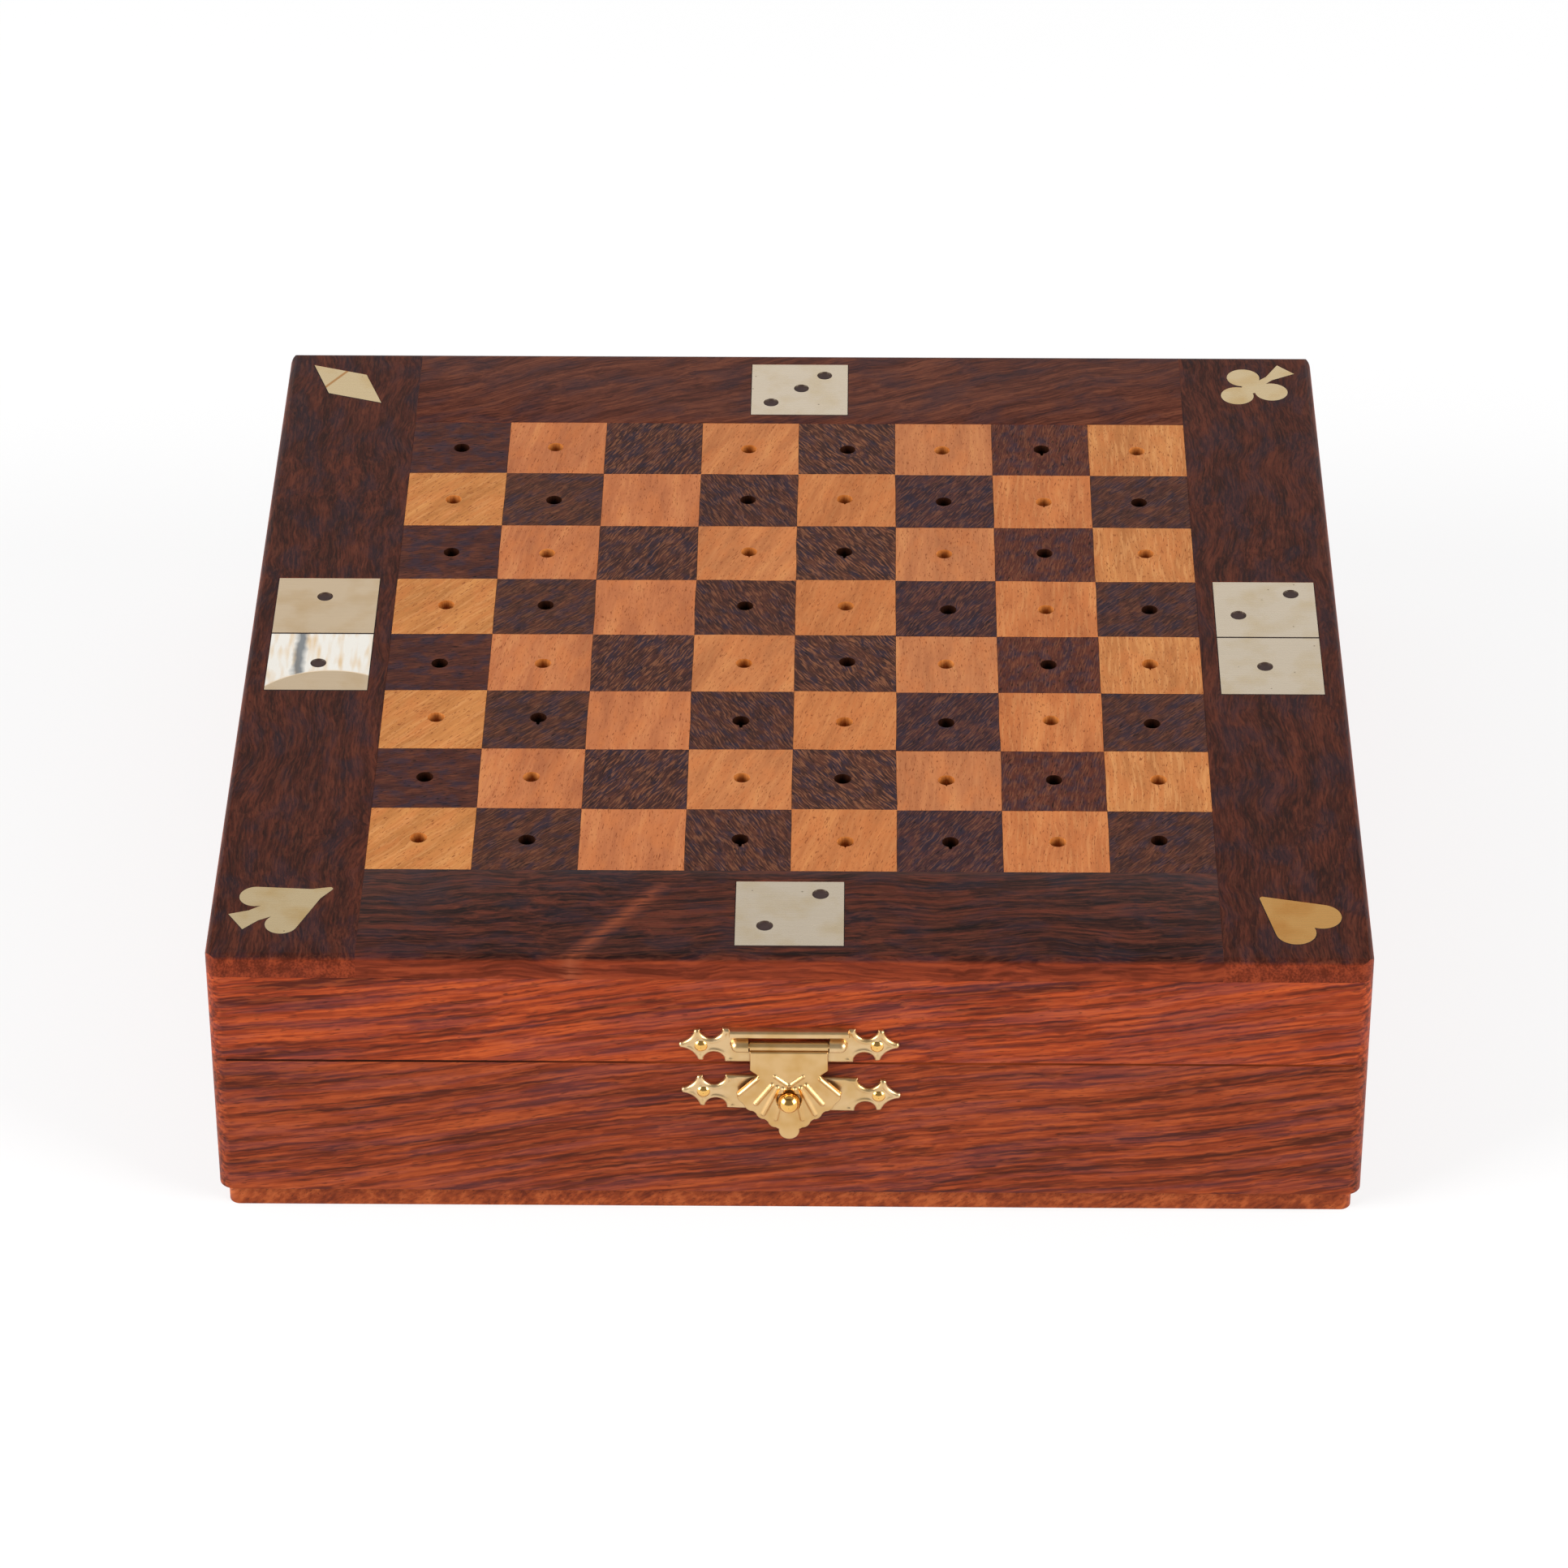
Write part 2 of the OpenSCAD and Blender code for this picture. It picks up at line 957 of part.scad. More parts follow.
// Rim of the shell's right half: the shoulder, then the corners between its four scallops
flap_rim = [[8.1, -8.75], for (i = [0 : 3]) [7.2 - 1.8 * i, -10.9 - 1.6 * i]];
flap_scallop_r = 1.5;
flap_scallop_rise = 0.25;
flap_tip = [0, -16];
flap_tip_r = 1.65;
// Flutes spread from a point on the tongue; each has an angle from the middle and a length
flap_fan = [0, -3.2];
flute_start = 4.6;
flap_flutes = [[11, 10], [23, 9.6], [35, 8.6]];
flute_r = 0.3;
flap_vee = [[2.15, -5.3], [0, -7.15]];
flap_shoulder_rib = [[4.7, -5.7], [7.7, -8.75]];

// The shell below the waist: a fan with sloping shoulders, whose scalloped edge runs down to a point
module flap_shell_outline() {
    last = len(flap_rim) - 1;
    polygon([
        flap_tip,
        for (i = [last : -1 : 0]) flap_rim[i],
        [flap_waist_half, flap_waist_up],
        [-flap_waist_half, flap_waist_up],
        for (i = [0 : last]) [-flap_rim[i][0], flap_rim[i][1]]
    ]);
    for (side = [left, right]) {
        for (i = [0 : last - 1]) {
            along = (flap_rim[i + 1] - flap_rim[i]) / norm(flap_rim[i + 1] - flap_rim[i]);
            middle = (flap_rim[i] + flap_rim[i + 1]) / 2
                + [along[1], -along[0]] * (flap_scallop_r - flap_scallop_rise);
            translate([side * middle[0], middle[1]])
                circle(flap_scallop_r);
        }
    }
    translate(flap_tip)
        circle(flap_tip_r);
}

// A raised rib lying on the flap
module flute(from, to) {
    along = to - from;
    translate([from[0], from[1], flap_t - 0.1])
        rotate([0, 0, atan2(along[1], along[0])])
            rotate([0, 90, 0])
                cylinder(r = flute_r, h = norm(along));
}

// The flap, drawn about its own hinge: rolled top with trunnions, straight tongue, fluted shell
module latch_flap() {
    color(latch_brass)
        on_front(0, upper_plate_z + flap_axis_up)
            translate([0, 0, flap_axis_out]) {
                rotate([0, 90, 0])
                    cylinder(r = roll_r, h = flap_w, center = true);
                rotate([0, 90, 0])
                    cylinder(r = trunnion_r, h = flap_w + 2 * trunnion_l, center = true);
                translate([0, 0, roll_r - flap_t])
                    difference() {
                        union() {
                            linear_extrude(flap_t) {
                                translate([-flap_w / 2, flap_waist_up + flap_notch])
                                    square([flap_w, -flap_waist_up - flap_notch]);
                                polygon([
                                    [-flap_waist_half, flap_waist_up], [flap_waist_half, flap_waist_up],
                                    [flap_w / 2, flap_waist_up + flap_notch],
                                    [-flap_w / 2, flap_waist_up + flap_notch]
                                ]);
                                flap_shell_outline();
                            }
                            for (side = [left, right]) {
                                for (way = flap_flutes) {
                                    spread = [side * sin(way[0]), -cos(way[0])];
                                    flute(flap_fan + flute_start * spread, flap_fan + way[1] * spread);
                                }
                                for (rib = [flap_vee, flap_shoulder_rib]) {
                                    flute([side * rib[0][0], rib[0][1]], [side * rib[1][0], rib[1][1]]);
                                }
                            }
                        }
                        translate([0, flap_ball_up, -over])
                            cylinder(r = stud_hole_r, h = flap_t + 2 * over);
                    }
            }
}

// ---------------------------------------------------------------- games

module card_pack() {
    pack_w = 58;
    pack_l = 88;
    color("#efe6d2")
        translate([-inner_w / 2 + cards_bay_w / 2, -inner_d / 2 + cards_bay_d / 2, floor_z])
            linear_extrude(pack_t)
                rounded_outline(pack_w, pack_l, 3.2);
}

// One tile, with the scored line across the middle of its face
module domino() {
    score = 0.5;
    difference() {
        linear_extrude(domino_t)
            rounded_outline(domino_w, domino_l, 1.2);
        translate([-domino_w, -score / 2, domino_t - score])
            cube([2 * domino_w, score, score + over]);
    }
}

// Twenty-eight tiles in seven stacks of four
module dominoes() {
    stacks = 7;
    layers = 4;
    pitch = inner_w / stacks;
    seam = 0.02;
    lift = domino_t + seam;
    color("#e3c58f")
        for (i = [0 : stacks - 1]) {
            for (layer = [0 : layers - 1]) {
                translate([
                    -inner_w / 2 + (i + 0.5) * pitch, inner_d / 2 - domino_bay_d / 2, floor_z + layer * lift
                ])
                    domino();
            }
        }
}

// Places of the pips on a face, in thirds of the face
function pip_places(value) = concat(
    value % 2 == 1 ? [[0, 0]] : [],
    value > 1 ? [[-1, -1], [1, 1]] : [],
    value > 3 ? [[-1, 1], [1, -1]] : [],
    value == 6 ? [[-1, 0], [1, 0]] : []
);

// A die with its corners ground off by a ball; opposite faces add up to seven
module die() {
    face_turns = [[0, 0, 0], [90, 0, 0], [0, 90, 0], [0, -90, 0], [-90, 0, 0], [180, 0, 0]];
    pip_r = die_w * 0.09;
    pip_step = die_w * 0.25;
    difference() {
        intersection() {
            cube(die_w, center = true);
            sphere(r = die_w * 0.74);
        }
        for (value = [1 : 6]) {
            rotate(face_turns[value - 1])
                for (place = pip_places(value)) {
                    translate([place[0] * pip_step, place[1] * pip_step, die_w / 2 + pip_r * 0.4])
                        sphere(r = pip_r);
                }
        }
    }
}

module dice() {
    count = 5;
    turns = [4, -7, 2, 9, -3];
    rolls = [[0, 0, 0], [90, 0, 0], [0, 90, 0], [180, 0, 0], [0, -90, 0]];
    color("#f1ead8")
        for (i = [0 : count - 1]) {
            translate([
                -inner_w / 2 + (i + 0.5) * cards_bay_w / count,
                (cards_y + divider_t + long_y) / 2, floor_z + die_w / 2
            ])
                rotate([0, 0, turns[i]])
                    rotate(rolls[i])
                        die();
        }
}

// Height of the collar under a man's head
function neck_of(h) = 0.6 * h;

// Turned foot, stem and collar that every chess man has, with the peg under it
module man_body(h, neck_z) {
    rotate_extrude()
        polygon([
            [0, 0], [foot_r, 0], [foot_r, 1.1], [foot_r - 0.6, 1.6], [foot_r - 0.7, 2.2],
            [foot_r * 0.55, 3.3], [foot_r * 0.38, 0.4 * h], [foot_r * 0.32, neck_z - 0.6],
            [foot_r * 0.58, neck_z - 0.2], [foot_r * 0.58, neck_z + 0.3], [foot_r * 0.36, neck_z + 0.8],
            [0, neck_z + 0.8]
        ]);
    translate([0, 0, -peg_l])
        cylinder(d = peg_d, h = peg_l + over);
}

module pawn(h) {
    head_r = 2.4;
    man_body(h, h - 2 * head_r - 0.3);
    translate([0, 0, h - head_r])
        sphere(head_r);
}

module rook(h) {
    head_r = 3;
    head_low = neck_of(h) + 0.4;
    man_body(h, neck_of(h));
    difference() {
        translate([0, 0, head_low])
            cylinder(r1 = head_r - 0.6, r2 = head_r, h = h - head_low);
        translate([0, 0, h - 1.6])
            cylinder(r = head_r - 1.1, h = 2);
        for (turn = [45, 135]) {
            translate([0, 0, h])
                rotate([0, 0, turn])
                    cube([3 * head_r, 1.1, 2.4], center = true);
        }
    }
}

// Horse's head sawn from the flat: neck, ears, brow, muzzle and chin
module knight(h) {
    head_t = 4.4;
    s = h / 19;
    man_body(0.72 * h, neck_of(0.72 * h));
    translate([0, head_t / 2, 0])
        rotate([90, 0, 0])
            linear_extrude(head_t)
                scale(s)
                    difference() {
                        polygon([
                            [-2.9, 7], [-3.4, 11], [-2.6, 14.6], [-0.7, 17.4], [0.2, 19], [1, 17.3],
                            [3.3, 15.2], [4.3, 13.2], [3.6, 11.8], [2.2, 12.2], [1, 11.6],
                            [1.9, 9.4], [2.6, 7]
                        ]);
                        translate([1.3, 15.1])
                            circle(0.45);
                    }
}

// Mitre with its slanting cut and a bead on top
module bishop(h) {
    head_r = 2.5;
    bead_r = 0.7;
    head_z = h - 2 * bead_r - head_r - 1;
    man_body(h, head_z - head_r - 0.3);
    difference() {
        union() {
            translate([0, 0, head_z])
                sphere(head_r);
            translate([0, 0, head_z + head_r * 0.6])
                cylinder(r1 = head_r * 0.8, r2 = bead_r * 0.7, h = head_r * 0.4 + 1 + bead_r * 0.6);
            translate([0, 0, h - bead_r])
                sphere(bead_r);
        }
        translate([1.6, 0, head_z + 1.2])
            rotate([0, -35, 0])
                cube([0.5, 3 * head_r, 3.6], center = true);
    }
}

// Coronet scalloped round its rim, with a bead in the middle
module queen(h) {
    rim_r = 3.2;
    bead_r = 1.1;
    crown_low = neck_of(h) + 0.4;
    crown_top = h - 1.2 * bead_r;
    scallops = 8;
    man_body(h, neck_of(h));
    difference() {
        translate([0, 0, crown_low])
            cylinder(r1 = 1.7, r2 = rim_r, h = crown_top - crown_low);
        for (i = [0 : scallops - 1]) {
            rotate([0, 0, i * 360 / scallops])
                translate([0, 0, crown_top + 0.2])
                    rotate([0, 90, 0])
                        cylinder(r = 0.75, h = 2 * rim_r);
        }
    }
    translate([0, 0, h - bead_r])
        sphere(bead_r);
}

// Flared crown with a domed top and a cross
module king(h) {
    rim_r = 3.1;
    crown_low = neck_of(h) + 0.4;
    crown_top = h - 4.2;
    dome_h = 1.3;
    arm = 0.9;
    man_body(h, neck_of(h));
    translate([0, 0, crown_low])
        cylinder(r1 = 1.7, r2 = rim_r, h = crown_top - crown_low);
    translate([0, 0, crown_top])
        cylinder(r1 = rim_r - 0.5, r2 = arm, h = dome_h);
    translate([-arm / 2, -arm / 2, crown_top])
        cube([arm, arm, h - crown_top]);
    translate([-arm * 1.5, -arm / 2, h - 2 * arm])
        cube([3 * arm, arm, arm]);
}

// Size of each man: its height as a share of the king's, and where its head touches when it lies down
pawn_h = 0.62 * king_h;
rook_h = 0.68 * king_h;
knight_h = 0.78 * king_h;
bishop_h = 0.82 * king_h;
queen_h = 0.92 * king_h;

// How far a man tips when it lies on its foot's rim and on its head
function lying_tilt(touch_r, touch_z) = atan((foot_r - touch_r) / touch_z);

// Lays a man on the floor of a bay. File counts from the left; heads of row 0 point to the front
module laid(bay_y, row, file, touch_r, touch_z) {
    pitch = men_bay_w / 8;
    tilt = lying_tilt(touch_r, touch_z);
    margin = peg_l + 1.2;
    seat = 0.02;
    x = column_x + divider_t + (file - 0.5) * pitch;
    y = row == 0 ? bay_y + men_bay_d - margin : bay_y + margin;
    translate([x, y, floor_z + foot_r * cos(tilt) + seat])
        rotate([0, 0, row == 0 ? 0 : 180])
            rotate([90 + tilt, 0, 0])
                children();
}

light_bay_y = -inner_d / 2;
dark_bay_y = men_y + divider_t;
light_men = "#d9b277";
dark_men = "#5b3222";

module pawns(bay_y) {
    for (file = [1 : 8]) {
        laid(bay_y, 1, file, 2.4, pawn_h - 2.4)
            pawn(pawn_h);
    }
}

module rooks(bay_y) {
    for (file = [1, 8]) {
        laid(bay_y, 0, file, 3, rook_h)
            rook(rook_h);
    }
}

module knights(bay_y) {
    for (file = [2, 7]) {
        laid(bay_y, 0, file, 2.2, knight_h * 0.9)
            knight(knight_h);
    }
}

module bishops(bay_y) {
    for (file = [3, 6]) {
        laid(bay_y, 0, file, 2.5, bishop_h - 4.9)
            bishop(bishop_h);
    }
}

module queen_of(bay_y) {
    laid(bay_y, 0, 4, 3.2, queen_h - 1.3)
        queen(queen_h);
}

module king_of(bay_y) {
    laid(bay_y, 0, 5, 3.1, king_h - 4.2)
        king(king_h);
}

module light_pawns() {
    color(light_men)
        pawns(light_bay_y);
}

module light_rooks() {
    color(light_men)
        rooks(light_bay_y);
}

module light_knights() {
    color(light_men)
        knights(light_bay_y);
}

module light_bishops() {
    color(light_men)
        bishops(light_bay_y);
}

module light_queen() {
    color(light_men)
        queen_of(light_bay_y);
}

module light_king() {
    color(light_men)
        king_of(light_bay_y);
}

module dark_pawns() {
    color(dark_men)
        pawns(dark_bay_y);
}

module dark_rooks() {
    color(dark_men)
        rooks(dark_bay_y);
}

module dark_knights() {
    color(dark_men)
        knights(dark_bay_y);
}

module dark_bishops() {
    color(dark_men)
        bishops(dark_bay_y);
}

module dark_queen() {
    color(dark_men)
        queen_of(dark_bay_y);
}

module dark_king() {
    color(dark_men)
        king_of(dark_bay_y);
}

// ---------------------------------------------------------------- assembly

base_front_board();
base_back_board();
base_left_board();
base_right_board();
bottom_panel();
base_lining();
long_partition();
column_partition();
cards_partition();
chessmen_partition();
hinge_left_base_leaf();
hinge_right_base_leaf();
hinge_pins();
hinge_base_screws();
latch_lower_plate();
latch_stud();
latch_lower_nails();
card_pack();
dominoes();
dice();
light_pawns();
light_rooks();
light_knights();
light_bishops();
light_queen();
light_king();
dark_pawns();
dark_rooks();
dark_knights();
dark_bishops();
dark_queen();
dark_king();
lid_front_rail();
lid_back_rail();
lid_left_rail();
lid_right_rail();
top_border_left();
top_border_right();
top_border_front();
top_border_back();
light_squares();
dark_squares();
lid_backing_panel();
lid_lining();
inlay_diamond();
inlay_club();
inlay_heart();
inlay_spade();
inlay_die_back();
inlay_die_front();
inlay_domino_left();
inlay_domino_right();
inlay_pips();
hinge_left_lid_leaf();
hinge_right_lid_leaf();
hinge_lid_screws();
latch_upper_plate();
latch_upper_nails();
latch_flap();
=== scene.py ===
# %% [markdown]
# # A wooden games compendium box
#
# The real object is a small travel case, 178 mm square and 49 mm high. Four boards make a tray, a
# second ring of boards sawn from the same block makes its lid, and the top of the lid is a chess
# board with peg holes. Brass card suits, dice and dominoes are let into its border, and a pressed
# brass hasp closes it. Its solids come from a CAD model, which stays where it is. This script
# gives each of them a finished surface, as a joiner and a polisher would.

import json
import math
import random
from functools import partial

import bmesh
import bpy
import numpy as np
from mathutils import Euler, Matrix, Vector
from mathutils.geometry import delaunay_2d_cdt


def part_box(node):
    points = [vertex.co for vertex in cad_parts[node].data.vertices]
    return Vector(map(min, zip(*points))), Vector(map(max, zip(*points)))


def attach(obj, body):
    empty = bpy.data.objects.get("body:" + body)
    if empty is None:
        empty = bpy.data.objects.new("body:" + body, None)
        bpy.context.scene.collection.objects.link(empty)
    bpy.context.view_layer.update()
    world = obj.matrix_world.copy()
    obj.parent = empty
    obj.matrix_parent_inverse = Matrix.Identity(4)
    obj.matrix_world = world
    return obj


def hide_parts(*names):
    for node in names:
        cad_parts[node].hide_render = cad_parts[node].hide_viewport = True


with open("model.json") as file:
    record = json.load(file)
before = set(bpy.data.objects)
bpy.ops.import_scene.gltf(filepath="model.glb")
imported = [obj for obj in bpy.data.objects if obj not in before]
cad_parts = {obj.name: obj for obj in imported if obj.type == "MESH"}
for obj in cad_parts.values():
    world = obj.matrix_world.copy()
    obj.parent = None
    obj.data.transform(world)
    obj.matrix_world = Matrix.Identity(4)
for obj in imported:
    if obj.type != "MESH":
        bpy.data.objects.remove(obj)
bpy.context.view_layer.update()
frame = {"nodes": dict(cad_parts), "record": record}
nodes = frame["nodes"]
MM = 0.001

# %% [markdown]
# ## Sizes that several pieces share
#
# A box like this is drawn from a few sizes: where its front stands, where the lid parts from the
# tray, how high the board lies, and the side of a square. They are read from the CAD nodes, so a
# change there moves every finish with it.

# %% Heights and fronts, read from the CAD nodes
FRONT_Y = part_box("lid_front_rail")[0].y
TOP_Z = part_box("top_border_left")[1].z
PARTING_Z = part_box("base_left_board")[1].z
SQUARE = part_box("top_border_front")[1].x / 4
print("front", FRONT_Y / MM, "top", TOP_Z / MM, "parting", PARTING_Z / MM, "square", SQUARE / MM)

# %% [markdown]
# ## Camera
#
# The photograph was taken with a long lens from about 35 degrees above the table, a little to the
# left of square. The place and the focal length come from the corners of the box, which have known
# distances between them.

# %% Camera at the photograph's viewing angle
CAMERA_AT = Vector((0.010, -0.861, 0.619))
LOOK_DOWN = math.radians(34.85)
LOOK_ASIDE = math.radians(-0.79)
ROLL = math.radians(-0.18)

lens = bpy.data.cameras.new("long_lens")
lens.lens = 145.1
lens.sensor_width = 36
lens.clip_end = 20
camera = bpy.data.objects.new("camera", lens)
bpy.context.scene.collection.objects.link(camera)
camera.location = CAMERA_AT
camera.rotation_euler = (
    Euler((math.pi / 2 - LOOK_DOWN, 0, -LOOK_ASIDE)).to_matrix() @ Euler((0, 0, ROLL)).to_matrix()
).to_euler()
bpy.context.scene.camera = camera
bpy.context.scene.view_settings.view_transform = "Standard"
print("camera", [round(v, 3) for v in camera.location], "lens", lens.lens)

# %% [markdown]
# ## Small helpers for materials
#
# Colours are written as the hex values that a painter's chart would show, and one function turns
# them into the linear numbers that Blender calculates with. Another adds a node to a tree: it sets
# the node's properties, fills its inputs in their order or by name, and hands back its output, so
# that a material reads as a list of steps.

# %% Colour and node helpers
def tone(code, alpha=1.0):
    """A hex colour as it shows on a screen, turned to linear light."""
    parts = [int(code[i : i + 2], 16) / 255 for i in (1, 3, 5)]
    return [p / 12.92 if p <= 0.04045 else ((p + 0.055) / 1.055) ** 2.4 for p in parts] + [alpha]


def add(tree, kind, *values, out=0, stops=(), **settings):
    """Adds a node of a kind, which may end in its operation or data type, as in "Math ADD". Values
    fill its live inputs in order, and a dict at their end fills inputs by name. They are numbers,
    hex colours, outputs of other nodes, or None to leave an input alone. stops are those of a
    ramp. Returns the first live output, the one that `out` names, or all outputs for None."""
    kind, *word = kind.split()
    families = ("ShaderNode", "GeometryNode", "FunctionNode", "")
    made = tree.nodes.new(next(f + kind for f in families if hasattr(bpy.types, f + kind)))
    if word:
        settings["operation" if hasattr(made, "operation") else "data_type"] = word[0]
    for name, value in settings.items():
        setattr(made, name, value)
    named = values[-1] if values and isinstance(values[-1], dict) else {}
    filled = list(zip([s for s in made.inputs if s.enabled], values[: len(values) - bool(named)]))
    for socket, value in filled + [(made.inputs[name], value) for name, value in named.items()]:
        if isinstance(value, (bpy.types.NodeSocket, list)):
            for source in value if isinstance(value, list) else [value]:
                tree.links.new(source, socket)
        elif value is not None:
            coded = isinstance(value, str) and value.startswith("#")
            socket.default_value = tone(value) if coded else value
    for i, (place, code) in enumerate(stops):
        ramp = made.color_ramp.elements
        while i == 0 and len(ramp) > 1:
            ramp.remove(ramp[-1])
        step = ramp[0] if i == 0 else ramp.new(place)
        step.position, step.color = place, tone(code)
    if out is None:
        return made.outputs
    live = [s for s in made.outputs if s.enabled and (out == 0 or s.name == out)]
    return live[0] if live else None


def new_material(name):
    """An empty material, and `add` for its tree."""
    made = bpy.data.materials.new(name)
    made.use_nodes = True
    made.node_tree.nodes.clear()
    return made, partial(add, made.node_tree)


print("red brown in linear light:", [round(v, 3) for v in tone("#944228")[:3]])

# %% [markdown]
# ## Studio
#
# A product photographer puts such a box on white paper between two softboxes. Their twin
# highlights show in the hasp's ball, with the dark of the room between them. The paper curves up
# behind, so brass that lies flat mirrors white paper, and brass that turns to the ceiling goes
# olive. The camera sees the paper as plain white, less the soft shadow under the box.

# %% White paper
def paper_white():
    """Matt white paper. The camera and the metal see it white, less the shadow that falls on it,
    which gives the box a ground without a horizon."""
    made, node = new_material("white_paper")
    path = node("LightPath", out=None)
    seen = path["Is Camera Ray"]
    for ray in ("Is Glossy Ray", "Is Transmission Ray"):
        seen = node("Math MAXIMUM", seen, path[ray])
    lit = node("BsdfDiffuse", {"Color": "#f4f4f4"})
    glow = node("Emission", {"Color": "#ffffff", "Strength": 1.0})
    shown = node("MixShader", 0.72, lit, glow)
    node("OutputMaterial", node("MixShader", seen, lit, shown))
    return made


floor_mesh = bpy.data.meshes.new("paper_floor")
floor_mesh.from_pydata([(-6, -6, 0), (6, -6, 0), (6, 6, 0), (-6, 6, 0)], [], [(0, 1, 2, 3)])
floor = bpy.data.objects.new("paper_floor", floor_mesh)
bpy.context.scene.collection.objects.link(floor)
floor_mesh.materials.append(paper_white())
print("floor laid")

# %% [markdown]
# ## Lamps and room
#
# The lamps' powers were found by comparing the white of the paper and the tones of the wood with
# the photograph. What flat brass mirrors is the room, so the world is a ramp of greys from the
# paper at the horizon to the ceiling, and grey again behind the camera.

# %% Softboxes
def softbox(name, place, aim, width, height, power):
    """A rectangular lamp turned to face a point."""
    lamp = bpy.data.lights.new(name, "AREA")
    lamp.shape = "RECTANGLE"
    lamp.size, lamp.size_y = width, height
    lamp.energy = power
    held = bpy.data.objects.new(name, lamp)
    bpy.context.scene.collection.objects.link(held)
    held.location = place
    held.rotation_euler = (Vector(aim) - Vector(place)).to_track_quat("-Z", "Y").to_euler()


BOX_MIDDLE = (0, 0, 0.03)
softbox("softbox_left", (-1.25, -0.56, 0.58), BOX_MIDDLE, 0.90, 0.90, 27.0)
softbox("softbox_right", (1.25, -0.56, 0.58), BOX_MIDDLE, 0.90, 0.90, 24.0)
softbox("ceiling_bounce", (0.0, 0.40, 2.00), BOX_MIDDLE, 3.0, 2.2, 7.0)

# %% Room that the metal mirrors
def room(paper_to_ceiling, behind_camera):
    """Greys from the horizon up to the ceiling, and of the room behind the camera."""
    made = bpy.data.worlds.new("studio_room")
    made.use_nodes = True
    made.node_tree.nodes.clear()
    node = partial(add, made.node_tree)
    way = node("SeparateXYZ", node("TexCoord", out="Generated"), out=None)
    sweep = node("ValToRGB", way[2], stops=paper_to_ceiling)
    front = node("MapRange", way[1], -0.75, -0.45, 1.0, 0.0, interpolation_type="SMOOTHSTEP")
    seen = node("Mix RGBA", front, sweep, behind_camera)
    node("OutputWorld", node("Background", {"Color": seen, "Strength": 1.0}))
    return made


SWEEP = [
    (0.20, "#ffffff"), (0.44, "#efefef"), (0.57, "#cccccc"), (0.68, "#8c8c8c"), (0.80, "#606060"),
]
bpy.context.scene.world = room(SWEEP, behind_camera="#8a8a8a")
print("room:", bpy.context.scene.world.name)

# %% [markdown]
# ## Wood
#
# Every wood here has the same parts at different sizes: broad stripes and fine ones that run
# along the grain, a slow drift that bends them, a small ripple across them, clouds and flecks of
# another tone, and pores. One function builds them from sizes in millimetres, so a wood is a short
# list of what a joiner would say about it. The pattern is a solid one, read from the object's own
# coordinates, so the grain carries on round every corner and shows end grain where a board ends.

# %% Blots, bends and marks
def blots(node, place, length, width, detail=1.0):
    """Soft blots, `length` mm along X and `width` mm across."""
    sized = node("Mapping", {"Vector": place, "Scale": (1 / length, 1 / width, 1 / width)})
    return node("TexNoise", {"Vector": sized, "Scale": 1.0, "Detail": detail})


def bent(node, place, amount, size):
    """The place, pushed up to `amount` mm across the grain, in bends `size` mm long."""
    push = node("TexNoise", {"Vector": place, "Scale": 1 / size, "Detail": 1.0}, out="Color")
    push = node("VectorMath SUBTRACT", push, (0.5,) * 3)
    push = node("VectorMath MULTIPLY", push, (0, 2 * amount, 2 * amount))
    return node("VectorMath ADD", place, push)


def sapwood_mark(node, place, grain, x, y, angle, half_width, half_length):
    """Strength of one mark across the grain, which takes up the grain's own lines."""
    mark = node("VectorMath SUBTRACT", place, (x * MM, y * MM, 0))
    mark = node("Mapping", {"Vector": mark, "Rotation": (0, 0, -angle), "Scale": (1000,) * 3})
    mark = node("SeparateXYZ", mark, out=None)
    along, across = [node("Math ABSOLUTE", m) for m in mark[:2]]
    near = node("MapRange", across, half_width, 0.0, 0.0, 1.0)
    ends = node("MapRange", along, half_length, half_length * 0.7, 0.0, 1.0)
    near = node("Math MULTIPLY", near, ends)
    return node("Math MULTIPLY", near, node("MapRange", grain, 0.35, 0.55, 0.0, 0.8))


print("grain tools ready")

# %% [markdown]
# ## The recipe itself
#
# It could be one long noise, but a joiner sees three things apart: the figure, which is stripes,
# the marks on it, which are clouds, flecks and pores, and the polish. So the figure comes first
# and is coloured by a ramp, each mark is mixed over it where its own noise is strongest, and the
# pores also dent the surface.

# %% Figure, marks and polish
def upright_share(node, own, span):
    """Share of the edge's tone: on upright faces, or along X between the ends of a span in mm."""
    if span:
        along = node("SeparateXYZ", own["Object"], out="X")
        return node("MapRange", along, span[0] * MM, span[1] * MM, 0.0, 1.0)
    lying = node("SeparateXYZ", own["Normal"], out="Z")
    return node("MapRange", node("Math SUBTRACT", 1.0, lying), 0.25, 0.7, 0.0, 0.9)


